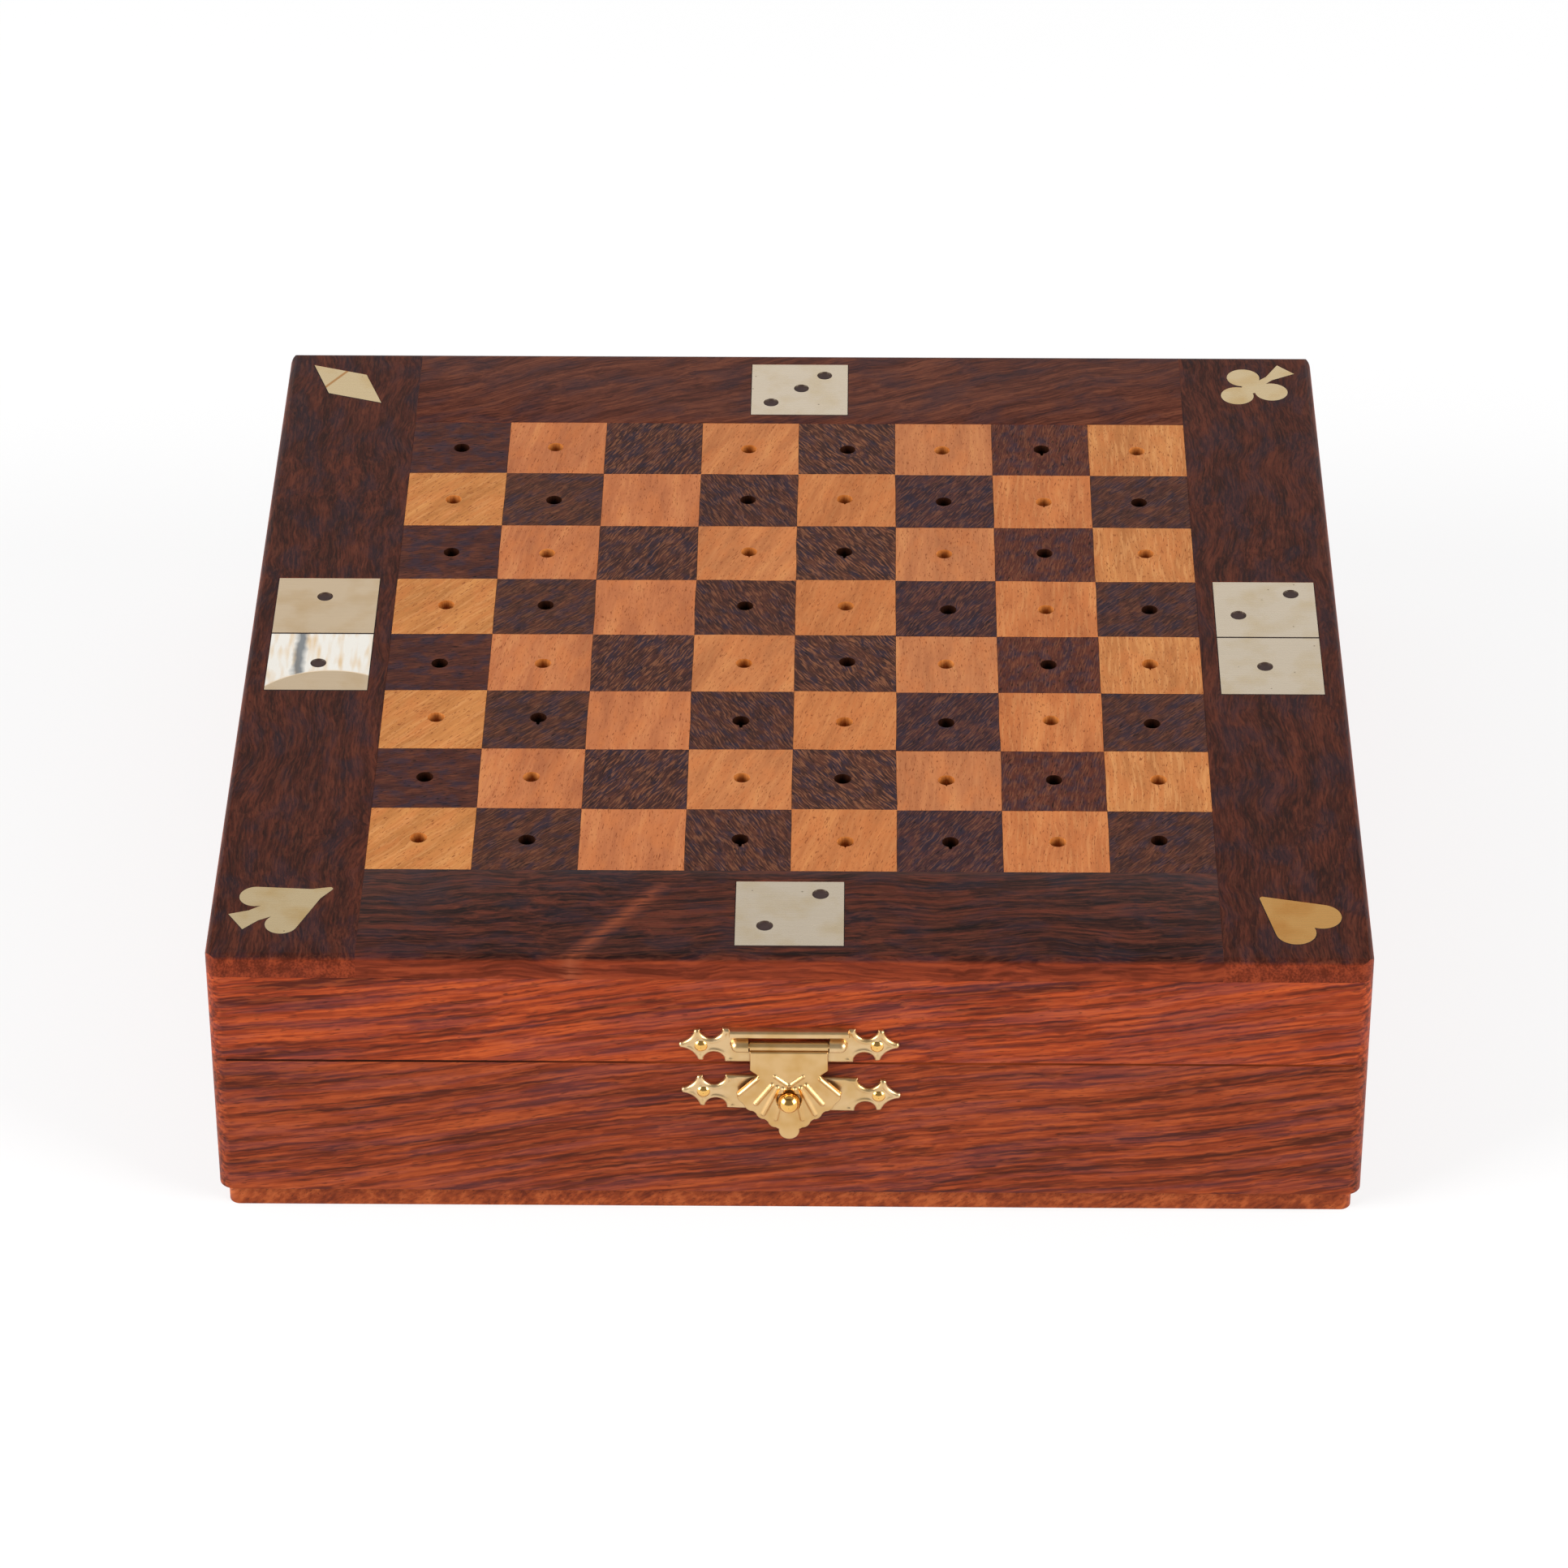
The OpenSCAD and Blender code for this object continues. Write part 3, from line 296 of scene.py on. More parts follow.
def wood(name, stripes, broad, fine, turn=(0, 0, 0), drift=(0, 60), ripple=(0, 3), cloud=None,
         fleck=None, pore=("#000000", 4, 0.25, 0.0), edge=None, edge_span=None, streak=None,
         strip=None, roughness=0.45, gloss=0.12, relief=0.03):
    """Sizes are in mm. broad is length, width; fine is length, width, share; cloud, fleck and pore
    are colour, length, width, strength. strip names attributes for the pattern's place, tone and
    flecks. edge gives other stripes to upright faces, or within edge_span along X. streak is a
    colour and the numbers of one sapwood mark."""
    made, node = new_material(name)
    own = node("TexCoord", out=None)
    source = node("Attribute", out="Vector", attribute_name=strip[0]) if strip else own["Object"]
    laid = node("Mapping", {"Vector": source, "Rotation": turn, "Scale": (1000,) * 3})
    for amount, size in (drift, ripple):
        laid = bent(node, laid, amount, size) if amount else laid
    wide = blots(node, laid, *broad, detail=2.0)
    thin = blots(node, laid, *fine[:2], detail=3.0)
    figure = node("Mix", fine[2], wide, thin)
    colour = node("ValToRGB", figure, stops=stripes)
    if strip:
        strip_tone = node("Attribute", out="Color", attribute_name=strip[1])
        colour = node("Mix RGBA", 0.5, colour, strip_tone)
    if cloud:
        patch = blots(node, laid, *cloud[1:3], detail=4.0)
        patch = node("MapRange", patch, 0.47, 0.62, 0.0, cloud[3])
        colour = node("Mix RGBA", patch, colour, cloud[0])
    if fleck:
        spark = blots(node, laid, *fleck[1:3], detail=2.0)
        spark = node("MapRange", spark, 0.50, 0.64, 0.0, fleck[3])
        if strip:
            share = node("Attribute", out="Fac", attribute_name=strip[2])
            spark = node("Math MULTIPLY", spark, share)
        colour = node("Mix RGBA", spark, colour, fleck[0])
    hole = node("MapRange", blots(node, laid, *pore[1:3]), 0.62, 0.70, 0.0, pore[3])
    colour = node("Mix RGBA", hole, colour, pore[0])
    if edge:
        share = upright_share(node, own, edge_span)
        colour = node("Mix RGBA", share, colour, node("ValToRGB", figure, stops=edge))
    if streak:
        mark = sapwood_mark(node, own["Object"], thin, *streak[1:])
        colour = node("Mix RGBA", mark, colour, streak[0])
    height = node("Math SUBTRACT", figure, hole)
    bump = node("Bump", {"Height": height, "Strength": 0.6, "Distance": relief * MM})
    node("OutputMaterial", node("BsdfPrincipled", {"Base Color": colour, "Roughness": roughness,
                                                   "Normal": bump, "Specular IOR Level": gloss}))
    return made


print("wood recipe ready")

# %% [markdown]
# ## Rosewood boards
#
# The sides are Indian rosewood, sawn along the grain, sanded and oiled. It is orange red with thin
# dark brown streaks a millimetre or two apart that climb a little to the right, and here and
# there a purple grey haze. Tray and lid were one block before the saw, so they share one pattern.

# %% Rosewood of the boards
# Sanded and oiled: a soft gloss, and dark streaks that make the red look deeper than its hex
LID_RED = [
    (0.38, "#4a1a0c"), (0.45, "#66250f"), (0.50, "#7d2e13"), (0.55, "#913a18"), (0.64, "#a84a20"),
]
TRAY_RED = [
    (0.38, "#441a0c"), (0.45, "#5d2410"), (0.50, "#702b12"), (0.55, "#803518"), (0.64, "#94431f"),
]
ROSEWOOD = dict(broad=(60, 2.6), fine=(30, 0.62, 0.62), drift=(4, 80), ripple=(0.2, 3),
                cloud=("#452c38", 20, 1.8, 0.3), fleck=("#b8582b", 6, 0.4, 0.25),
                pore=("#3a150c", 2.5, 0.2, 0.6), roughness=0.42, gloss=0.10)
CLIMB = math.radians(8)
ACROSS, ALONG = (0, CLIMB, 0), (CLIMB, 0, math.pi / 2)
lid_across = wood("oiled_rosewood_lid_across", LID_RED, turn=ACROSS, **ROSEWOOD)
lid_along = wood("oiled_rosewood_lid_along", LID_RED, turn=ALONG, **ROSEWOOD)
tray_across = wood("oiled_rosewood_tray_across", TRAY_RED, turn=ACROSS, **ROSEWOOD)
tray_along = wood("oiled_rosewood_tray_along", TRAY_RED, turn=ALONG, **ROSEWOOD)

# %% Rosewood of the panel and the dividers
# The panel under the tray is sawn aslant, so its figure is short and blotchy
panel_wood = wood("oiled_rosewood_panel", [(0.36, "#60240f"), (0.5, "#853a19"), (0.64, "#a35228")],
                  (14, 3), (5, 0.7, 0.5), turn=(0, math.radians(38), math.radians(30)),
                  drift=(2, 20), ripple=(0.3, 3), pore=("#4a1d0e", 2.5, 0.25, 0.6))
# Dividers are planed and left bare, so they look paler and dry
divider_wood = wood("planed_rosewood_dividers",
                    [(0.36, "#6b3a22"), (0.5, "#84492b"), (0.64, "#9a5a38")],
                    (60, 4), (12, 0.8, 0.4), drift=(3, 50), pore=("#4a2414", 3, 0.25, 0.5))
print("rosewoods made, materials so far:", len(bpy.data.materials))

# %% [markdown]
# ## Border and board woods
#
# The border is the dark heart of the same tree, polished almost black brown with blue black and
# red brown clouds. The squares are cut from glued strips: dark heartwood against a pale orange
# beech. Each strip of squares has its own slant of grain and its own tone, so these two woods
# read their pattern from attributes that the squares will carry.

# %% Woods of the border
# Heartwood under polish: dark enough for the brass to stand out, with a red brown upright edge
DARK_BORDER = [(0.38, "#2a1511"), (0.46, "#371a13"), (0.53, "#432017"), (0.62, "#54291c")]
FRONT_BORDER = [(0.38, "#1b0f0d"), (0.46, "#2d1612"), (0.53, "#412017"), (0.62, "#592a1d")]
# The back strip's ramp is lighter than the front strip's, mostly as painted sheen for the gloss
# that the back strip shows; the rest is the wood's own tone
BACK_BORDER_PAINTED_SHEEN = [(0.38, "#3c1e17"), (0.46, "#4b261c"), (0.53, "#592f22"), (0.62, "#683a29")]
WARM_EDGE = [(0.40, "#55200f"), (0.48, "#682915"), (0.54, "#762f18"), (0.62, "#85391d")]
BORDER_LOOK = dict(drift=(3, 20), ripple=(0.3, 2.5), cloud=("#272029", 8, 4, 0.45),
                   fleck=("#683a28", 3, 0.4, 0.25), pore=("#170a07", 1.6, 0.2, 0.5), edge=WARM_EDGE,
                   relief=0.015, gloss=0.06, roughness=0.4)
border_along = wood("polished_heartwood_along", DARK_BORDER, (14, 2), (4, 0.35, 0.5),
                    turn=(0, 0, math.pi / 2), **BORDER_LOOK)
# The front strip has one pale mark of sapwood across it
SAPWOOD = ("#84432a", -27.3, -80.5, 0.95, 1.9, 15.0)
border_front = wood("polished_heartwood_front", FRONT_BORDER, (34, 1.6), (14, 0.5, 0.5),
                    turn=(0, 0, math.radians(-3)), streak=SAPWOOD, **BORDER_LOOK)
border_back_painted_sheen = wood("polished_heartwood_back_painted_sheen", BACK_BORDER_PAINTED_SHEEN, (26, 1.6), (7, 0.35, 0.55),
                   turn=(0, 0, math.radians(-22)), **BORDER_LOOK)
print("border woods made, materials so far:", len(bpy.data.materials))

# %% Woods of the squares
SQUARE_LOOK = dict(gloss=0.06, roughness=0.4, strip=("grain", "tone", "fleck"))
# Heartwood, short in the grain: blue black clouds and small light flecks
dark_wood = wood("polished_heartwood_squares",
                 [(0.36, "#1e161b"), (0.45, "#311d1b"), (0.53, "#4a281d"), (0.62, "#673a28")],
                 (5, 2.0), (2.6, 0.25, 0.5), drift=(0.5, 5), cloud=("#272331", 3.2, 2.2, 0.6),
                 fleck=("#8a583c", 2.4, 0.26, 0.7), pore=("#120807", 1.2, 0.22, 0.8),
                 relief=0.015, **SQUARE_LOOK)
# Beech: even and warm, with the fine dark dashes of its rays
pale_wood = wood("polished_beech_squares",
                 [(0.36, "#91502a"), (0.46, "#a86236"), (0.54, "#b87040"), (0.64, "#cc884f")],
                 (24, 3), (5, 0.5, 0.35), drift=(0.6, 10), cloud=("#bf6f3c", 7, 3, 0.35),
                 fleck=("#d29860", 6, 0.5, 0.4), pore=("#7a3c1c", 0.9, 0.2, 0.8), relief=0.01,
                 **SQUARE_LOOK)
# Walls of the drilled holes: raw wood, without polish, so they look dry. The heartwood walls are
# also painted darker than the squares, as painted shade, so those holes look deep
RAW = dict(broad=(8, 3), fine=(2, 0.3, 0.5), turn=(0, math.pi / 2, 0), gloss=0.02)
raw_pale_wood = wood("drilled_beech", [(0.36, "#a85f28"), (0.64, "#c87f42")], **RAW)
raw_dark_wood_painted_shade = wood("drilled_heartwood_painted_shade", [(0.36, "#1c0e09"), (0.64, "#341a10")], **RAW)
# The panel under the squares is planed and plain, and felt hides most of it
backing_wood = wood("planed_panel", [(0.36, "#5b3020"), (0.64, "#7a452c")], (50, 4), (10, 0.8, 0.4))
print("woods of the board made, materials so far:", len(bpy.data.materials))

# %% [markdown]
# ## Rubbed brass
#
# The inlays are rolled brass sheet, glued in and rubbed flat with fine paper. A metal's colour is
# its reflection, so it keeps the default index and only its tint and roughness are set: pale, in
# scratches 0.15 mm apart, a little stained. The near half of the left domino bulged when it was
# pressed in. It leans back, and on it a painted reflection shows white above a low arc, with a
# painted dark reflection across.

# %% The bulge of one plate and its painted reflections
def bulge_with_painted_reflection(node, laid, colour, sway, x, y, radius, slope, dark_reflection_x):
    """Colour and height of the near half of a plate. Outside a circle, in mm, it leans back, and
    its colour gets a painted white reflection, with a painted dark reflection near a given x."""
    flat = node("VectorMath MULTIPLY", laid, (1, 1, 0))
    beyond = node("VectorMath DISTANCE", flat, (x, y, 0))
    beyond = node("Math SUBTRACT", beyond, radius)
    across = node("SeparateXYZ", laid, out=None)
    half = node("Math LESS_THAN", across[1], 0.0)
    near = node("Math MULTIPLY", half, node("MapRange", beyond, 0.0, 0.4, 0.0, 1.0))
    lean = node("Math MAXIMUM", beyond, 0.0)
    lean = node("Math MULTIPLY", lean, half)
    sway = node("Math MULTIPLY_ADD", lean, -slope, sway)
    # Painted dark reflection: a grey streak across the near half, where the dark between the
    # softboxes would mirror
    painted_dark_reflection = node("Math MULTIPLY_ADD", blots(node, laid, 2.5, 2.5), 1.6, across[0])
    painted_dark_reflection = node("Math SUBTRACT", painted_dark_reflection, dark_reflection_x)
    painted_dark_reflection = node("Math ABSOLUTE", painted_dark_reflection)
    painted_dark_reflection = node("Math MULTIPLY", node("MapRange", painted_dark_reflection, 1.3, 0.4, 0.0, 0.85), near)
    # Painted white reflection over the rest of the near half
    painted_white_reflection = node("MapRange", blots(node, laid, 1.2, 7), 0.30, 0.55, 0.0, 1.0)
    painted_white_reflection = node("Math MULTIPLY", near, painted_white_reflection)
    colour = node("Mix RGBA", painted_white_reflection, colour, "#fbf6ec")
    return node("Mix RGBA", painted_dark_reflection, colour, "#59626a"), sway


print("bulge ready")

# %% Rubbed brass sheet
def soldered(node, laid, colour, x, y, angle):
    """The colour with a thin line of solder, through a place in mm and at an angle."""
    joint = node("VectorMath SUBTRACT", laid, (x, y, 0))
    joint = node("Mapping", {"Vector": joint, "Rotation": (0, 0, -angle)})
    joint = node("Math ABSOLUTE", node("SeparateXYZ", joint, out="Y"))
    joint = node("MapRange", joint, 0.35, 0.15, 0.0, 0.85)
    return node("Mix RGBA", joint, colour, "#c98a48")


def rubbed_brass(name, pale, stain, roughness, bulge_and_reflection=None, seam=None):
    """Brass sheet rubbed flat: scratches along X, cloudy stains and a few specks. Two optional
    arguments hold the numbers of a bent plate with its painted reflections, and of a soldered
    joint."""
    made, node = new_material(name)
    laid = node("Mapping", {"Vector": node("TexCoord", out="Object"), "Scale": (1000,) * 3})
    lines = blots(node, laid, 9, 0.15, detail=2.0)
    cloud = node("MapRange", blots(node, laid, 6, 6, detail=3.0), 0.48, 0.75, 0.0, 0.7)
    colour = node("Mix RGBA", cloud, pale, stain)
    speck = node("TexVoronoi", {"Vector": laid, "Scale": 1 / 3.2}, out="Distance")
    speck = node("MapRange", speck, 0.03, 0.06, 0.6, 0.0)
    colour = node("Mix RGBA", speck, colour, "#5a3a20")
    rough = node("MapRange", lines, 0.0, 1.0, *roughness)
    sway = node("Math MULTIPLY", blots(node, laid, 9, 9), 0.03)
    if bulge_and_reflection:
        colour, sway = bulge_with_painted_reflection(node, laid, colour, sway, *bulge_and_reflection)
    if seam:
        colour = soldered(node, laid, colour, *seam)
    sway = node("Bump", {"Height": sway, "Strength": 1.0, "Distance": MM})
    bump = node("Bump", {"Height": lines, "Strength": 0.35, "Distance": 0.01 * MM, "Normal": sway})
    node("OutputMaterial", node("BsdfPrincipled", {"Base Color": colour, "Metallic": 1.0,
                                                   "Roughness": rough, "Normal": bump}))
    return made


print("rubbed brass recipe ready")

# %% Brass of the inlays
# Dice and domino plates: nearly white, softly mirrored paper
plate_brass = rubbed_brass("rubbed_plate_brass", "#f4e3ca", "#e8cfa4", (0.20, 0.32))
# The left domino's plate leans, and its colour carries a painted white and a painted dark
# reflection
bowed_brass_painted_reflection = rubbed_brass("bowed_plate_brass_painted_reflection", "#f1d7b4", "#e4c292", (0.14, 0.24),
                            bulge_and_reflection=(-75.0, -25.2, 14.2, 0.12, -79.7))
# Suits: cut from yellower sheet, so they look like old gold; the heart is the most stained
suit_brass = rubbed_brass("rubbed_suit_brass", "#f0d6a8", "#e2ba78", (0.20, 0.32))
diamond_brass = rubbed_brass("soldered_diamond_brass", "#f0d6a8", "#e2ba78", (0.20, 0.32),
                             seam=(-80.3, 80.5, 1.0))
heart_brass = rubbed_brass("stained_heart_brass", "#eeb469", "#dd9646", (0.22, 0.34))
print("rubbed brass made")

# %% [markdown]
# ## Lacquered metal
#
# The hasp is pressed from sheet and dipped in gold lacquer, which softens its mirror and gathers in
# darker patches. Nails and stud are polished first, so they stay bright. Hinges and pins aren't
# lacquered, but drawing the metal leaves the same soft unevenness, so one recipe serves them all.

# %% Lacquered metal
def lacquered_metal(name, colour, deep, roughness):
    """Pressed metal under lacquer: soft unevenness about 0.8 mm across, and darker in patches."""
    made, node = new_material(name)
    place = node("TexCoord", out="Object")
    soft = node("TexNoise", {"Vector": place, "Scale": 1000 / 0.8, "Detail": 2.0})
    patch = node("TexNoise", {"Vector": place, "Scale": 1000 / 3.5, "Detail": 2.0})
    patch = node("MapRange", patch, 0.4, 0.7)
    tint = node("Mix RGBA", patch, colour, deep)
    rough = node("MapRange", soft, 0.0, 1.0, *roughness)
    bump = node("Bump", {"Height": soft, "Strength": 0.3, "Distance": 0.02 * MM})
    node("OutputMaterial", node("BsdfPrincipled", {"Base Color": tint, "Metallic": 1.0,
                                                   "Roughness": rough, "Normal": bump}))
    return made


# Plates: pale gold, softly shining. The flap is handled, so it is a little deeper and warmer
hasp_brass = lacquered_metal("pressed_lacquered_brass", "#dcbb8c", "#cfa970", (0.30, 0.40))
flap_brass = lacquered_metal("handled_flap_brass", "#d8b27c", "#cba062", (0.30, 0.40))
# Domed heads: polished, so that both softboxes show as points
nail_brass = lacquered_metal("domed_nail_brass", "#f0be6e", "#e3a850", (0.12, 0.2))
# Hinges: drawn brass without polish; their pins are drawn steel
hinge_brass = lacquered_metal("drawn_hinge_brass", "#d9b878", "#b98f4c", (0.25, 0.38))
pin_steel = lacquered_metal("drawn_steel_pin", "#c4c2bc", "#9a978f", (0.25, 0.35))
print("lacquered metals made")

# %% [markdown]
# ## Felt, wax, glue, resin and enamel
#
# These have no figure. What the eye sees of them is a mottle at the size of their own grain, a
# little relief, and how dull or shiny they are. Felt also has a sheen, because its fibres stand up
# and catch light from the side.

# %% Mottled surfaces
def matt(name, colour, deep, size, roughness, sheen=0.0, relief=0.05):
    """A surface mottled at one size in mm: felt, filler, resin or enamel."""
    made, node = new_material(name)
    place = node("TexCoord", out="Object")
    mottle = node("TexNoise", {"Vector": place, "Scale": 1000 / size, "Detail": 4.0})
    tint = node("Mix RGBA", mottle, colour, deep)
    bump = node("Bump", {"Height": mottle, "Strength": 0.6, "Distance": relief * MM})
    node("OutputMaterial", node("BsdfPrincipled", {"Base Color": tint, "Roughness": roughness,
                                                   "Sheen Weight": sheen, "Normal": bump,
                                                   "Specular IOR Level": 0.3}))
    return made


# Hide glue darkens in the gap round an inlay; wax fills the pips and dries grey brown
glue_line = matt("dark_glue_line", "#2b1a14", "#1c100c", 0.5, 0.7)
pip_filler = matt("dark_wax_filler", "#3d2a27", "#2c1c1a", 1.0, 0.6)
# Wool felt: its tufts are finer than this, and are drawn 1.4 mm wide so that they show
felt = matt("bottle_green_felt", "#23523e", "#0e281d", 1.4, 0.95, sheen=0.4, relief=0.3)
# Cast resin and enamel are smooth and catch small clear lights
dice_resin = matt("polished_cream_resin", "#efe4cc", "#e6d8bb", 4.0, 0.25, relief=0.01)
enamel = matt("black_enamel", "#17130f", "#0d0b0a", 1.5, 0.2, relief=0.01)
print("mottled surfaces made")

# %% [markdown]
# ## More woods
#
# Three more finishes come from the recipe for wood. The broken edges at the slit between tray and
# lid are painted dark at the left, as painted shade in the slit, and at the right, where the lid
# shuts tightly, they keep the red of the boards. The men are turned and lacquered, and the
# dominoes are waxed.

# %% Woods of the slit, the men and the dominoes
# Painted shade: the slit's broken edges go near black at the left and dark red brown from the
# middle on, standing in for the shadow in the slit
slit_shade = wood("painted_shade_rosewood_at_the_slit",
                  [(0.36, "#1c0b06"), (0.5, "#2c120a"), (0.64, "#431b0e")], (40, 4), (9, 0.8, 0.5),
                  edge=[(0.36, "#38160b"), (0.5, "#5a2410"), (0.64, "#7c3418")],
                  edge_span=(-45, 0), gloss=0.02)
# Turned wood under lacquer shines along its curves
TURNED = dict(broad=(18, 2), fine=(6, 0.5, 0.4), turn=(0, 0, math.pi / 2), gloss=0.45,
              roughness=0.28)
light_men_wood = wood("lacquered_boxwood",
                      [(0.36, "#b57f40"), (0.5, "#cb9755"), (0.64, "#dcae6c")], **TURNED)
dark_men_wood = wood("lacquered_rosewood",
                     [(0.36, "#30130b"), (0.5, "#4a2013"), (0.64, "#632d19")], **TURNED)
# Wax gives the dominoes a duller shine
domino_wood = wood("waxed_kadam_dominoes", [(0.36, "#cb9d5c"), (0.5, "#dab276"), (0.64, "#e5c48d")],
                   (24, 2), (6, 0.5, 0.4), turn=(0, 0, math.pi / 2), gloss=0.35, roughness=0.35)
print("all woods made, materials so far:", len(bpy.data.materials))

# %% [markdown]
# ## Easing the edges
#
# No sanded board has a knife edge. A copy of each CAD solid is merged, its flat faces are joined,
# and its corners are broken by a fraction of a millimetre, so joints show as fine grooves and
# edges catch the light. The CAD node itself stays untouched for the physics.

# %% Dressing a mesh as a piece
def body_of(node):
    """The moving body that a CAD node belongs to."""
    return next(b for b, held in frame["record"]["behaviour"]["bodies"].items() if node in held)


def dress(mesh, materials, replaced, smooth=38):
    """Makes an object of a mesh, gives it its finish, and hangs it on the body of what it replaces.
    Corners of more than `smooth` degrees stay crisp."""
    shape = bmesh.new()
    shape.from_mesh(mesh)
    for face in shape.faces:
        face.smooth = True
    for edge in shape.edges:
        edge.smooth = edge.is_manifold and edge.calc_face_angle() < math.radians(smooth)
    shape.to_mesh(mesh)
    shape.free()
    for material in materials:
        mesh.materials.append(material)
    piece = bpy.data.objects.new(mesh.name, mesh)
    bpy.context.scene.collection.objects.link(piece)
    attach(piece, body_of(replaced[0]))
    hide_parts(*replaced)
    return piece


print("the flap rides on", body_of("latch_flap"))

# %% A finished copy of a CAD node
CORNER = math.radians(40)


def eased(node, material, ease=0.0, shortest=3, rim=None):
    """A merged copy of a CAD node, standing for it. Its corners that are longer than `shortest`
    are broken by `ease`, in mm. rim is a second material and a test: it goes on the broken corners
    that pass, or on any face where no corner is broken."""
    shape = bmesh.new()
    shape.from_mesh(nodes[node].data)
    bmesh.ops.remove_doubles(shape, verts=shape.verts, dist=0.002 * MM)
    bmesh.ops.dissolve_limit(shape, angle_limit=math.radians(0.5), verts=shape.verts,
                             edges=shape.edges)
    for face in shape.faces:
        face.material_index = 0
    if ease:
        sharp = [e for e in shape.edges if e.is_manifold and e.calc_face_angle() > CORNER
                 and e.calc_length() >= shortest * MM]
        bevel = bmesh.ops.bevel(shape, geom=sharp, offset=ease * MM, segments=2, profile=0.5,
                                affect="EDGES", clamp_overlap=shortest == 0)
    for face in (bevel["faces"] if ease else shape.faces) if rim else ():
        face.material_index = int(rim[1](face))
    bmesh.ops.triangulate(shape, faces=[f for f in shape.faces if len(f.verts) > 4])
    mesh = bpy.data.meshes.new(node + "_finished")
    shape.to_mesh(mesh)
    shape.free()
    return dress(mesh, [material] + ([rim[0]] if rim else []), [node], 20 if ease else 38)


print("corners above", round(math.degrees(CORNER)), "degrees can be eased")

# %% Boards, dividers and border
def at_parting(face):
    """True for a corner that faces the slit between tray and lid."""
    return abs(face.calc_center_median().z - PARTING_Z) < 0.25 * MM


# The broken corners at the slit take slit_shade, which is painted shade
for part, across, along in (("base", tray_across, tray_along), ("lid", lid_across, lid_along)):
    wall = "_board" if part == "base" else "_rail"
    for side, board, ease in (("_front", across, 0.2), ("_back", across, 0.2),
                              ("_left", along, 0.12), ("_right", along, 0.12)):
        eased(part + side + wall, board, ease, rim=(slit_shade, at_parting))
eased("bottom_panel", panel_wood, 0.5)
for node in ("long_partition", "column_partition", "cards_partition", "chessmen_partition"):
    eased(node, divider_wood, 0.3)
eased("lid_backing_panel", backing_wood)
for side, strip in (("left", border_along), ("right", border_along), ("front", border_front),
                    ("back", border_back_painted_sheen)):
    eased("top_border_" + side, strip, 0.06)

# %% [markdown]
# ## Squares of the board
#
# The maker glued strips of dark and pale wood and cut them across, so a file keeps one tone and one
# slant of grain, and the joints waver by a quarter of a millimetre. Pegs for travelling men need
# holes, drilled by eye and sometimes chipped. That is a rule with small errors in it, which
# Geometry Nodes can follow: two blocks, one of them drilled, are laid on a grid of points that
# carry each strip's grain and tone.

# %% Strips of the board
# From left to right: slant of the grain in degrees, strength of flecks, tone
DARK_STRIPS = [
    (10, 0.15, "#4c251d"), (45, 0.45, "#46291f"), (62, 0.80, "#3b2320"), (116, 0.70, "#3e241f"),
    (122, 1.00, "#3f2620"), (60, 0.50, "#342129"), (80, 0.45, "#5c2c20"), (50, 0.40, "#452821"),
]
PALE_STRIPS = [
    (50, 0.8, "#b57d42"), (80, 0.2, "#ae6a47"), (85, 0.1, "#b16c48"), (70, 0.3, "#b47448"),
    (75, 0.3, "#b37041"), (88, 0.2, "#ad6f4a"), (88, 0.6, "#b46c40"), (90, 1.0, "#b17643"),
]
UNDRILLED_FILE = 3
SQUARE_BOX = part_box("light_squares")


def strip_points(parity, strips):
    """One point for each square of a colour, with its strip's grain, flecks and tone."""
    cells = [(f, r) for f in range(1, 9) for r in range(1, 9) if (f + r) % 2 == parity]
    mesh = bpy.data.meshes.new("strip_points")
    mesh.from_pydata([((f - 4.5) * SQUARE, (4.5 - r) * SQUARE, TOP_Z) for f, r in cells], [], [])
    facts = {
        "slant": ("FLOAT", "value", [math.radians(strips[f - 1][0]) for f, r in cells]),
        "fleck": ("FLOAT", "value", [strips[f - 1][1] for f, r in cells]),
        "file": ("INT", "value", [f for f, r in cells]),
        "tone": ("FLOAT_COLOR", "color", [tone(strips[f - 1][2]) for f, r in cells]),
    }
    for name, (kind, field, values) in facts.items():
        made = mesh.attributes.new(name, kind, "POINT")
        made.data.foreach_set(field, values if kind == "INT" else np.ravel(values))
    return mesh


print("strips:", len(DARK_STRIPS), "dark and", len(PALE_STRIPS), "pale")

# %% [markdown]
# ## One square, three ways
#
# A square is a block with broken upper edges, and its hole is what a drill takes out of it, so the
# tree makes it in the same way: a block, and a boolean with a cylinder. Some drills also lift a
# chip, which is a small ball at the rim of the hole. The faces that the drill cuts remember it in
# an attribute, because raw wood shows there; in the dark squares that wood is also painted darker,
# as painted shade in the holes.

# %% A block and its drills
HALF, FLAT = (0.5, 0.5, 0.5), (1, 1, 0)


def new_tree(name, inputs):
    """An empty geometry tree with named inputs, those inputs, and `add` for it."""
    tree = bpy.data.node_groups.new(name, "GeometryNodeTree")
    tree.is_modifier = True
    for title, kind in [("Geometry", "Geometry"), *inputs]:
        tree.interface.new_socket(title, in_out="INPUT", socket_type="NodeSocket" + kind)
    tree.interface.new_socket("Geometry", in_out="OUTPUT", socket_type="NodeSocketGeometry")
    node = partial(add, tree)
    return tree, node("NodeGroupInput", out=None), node


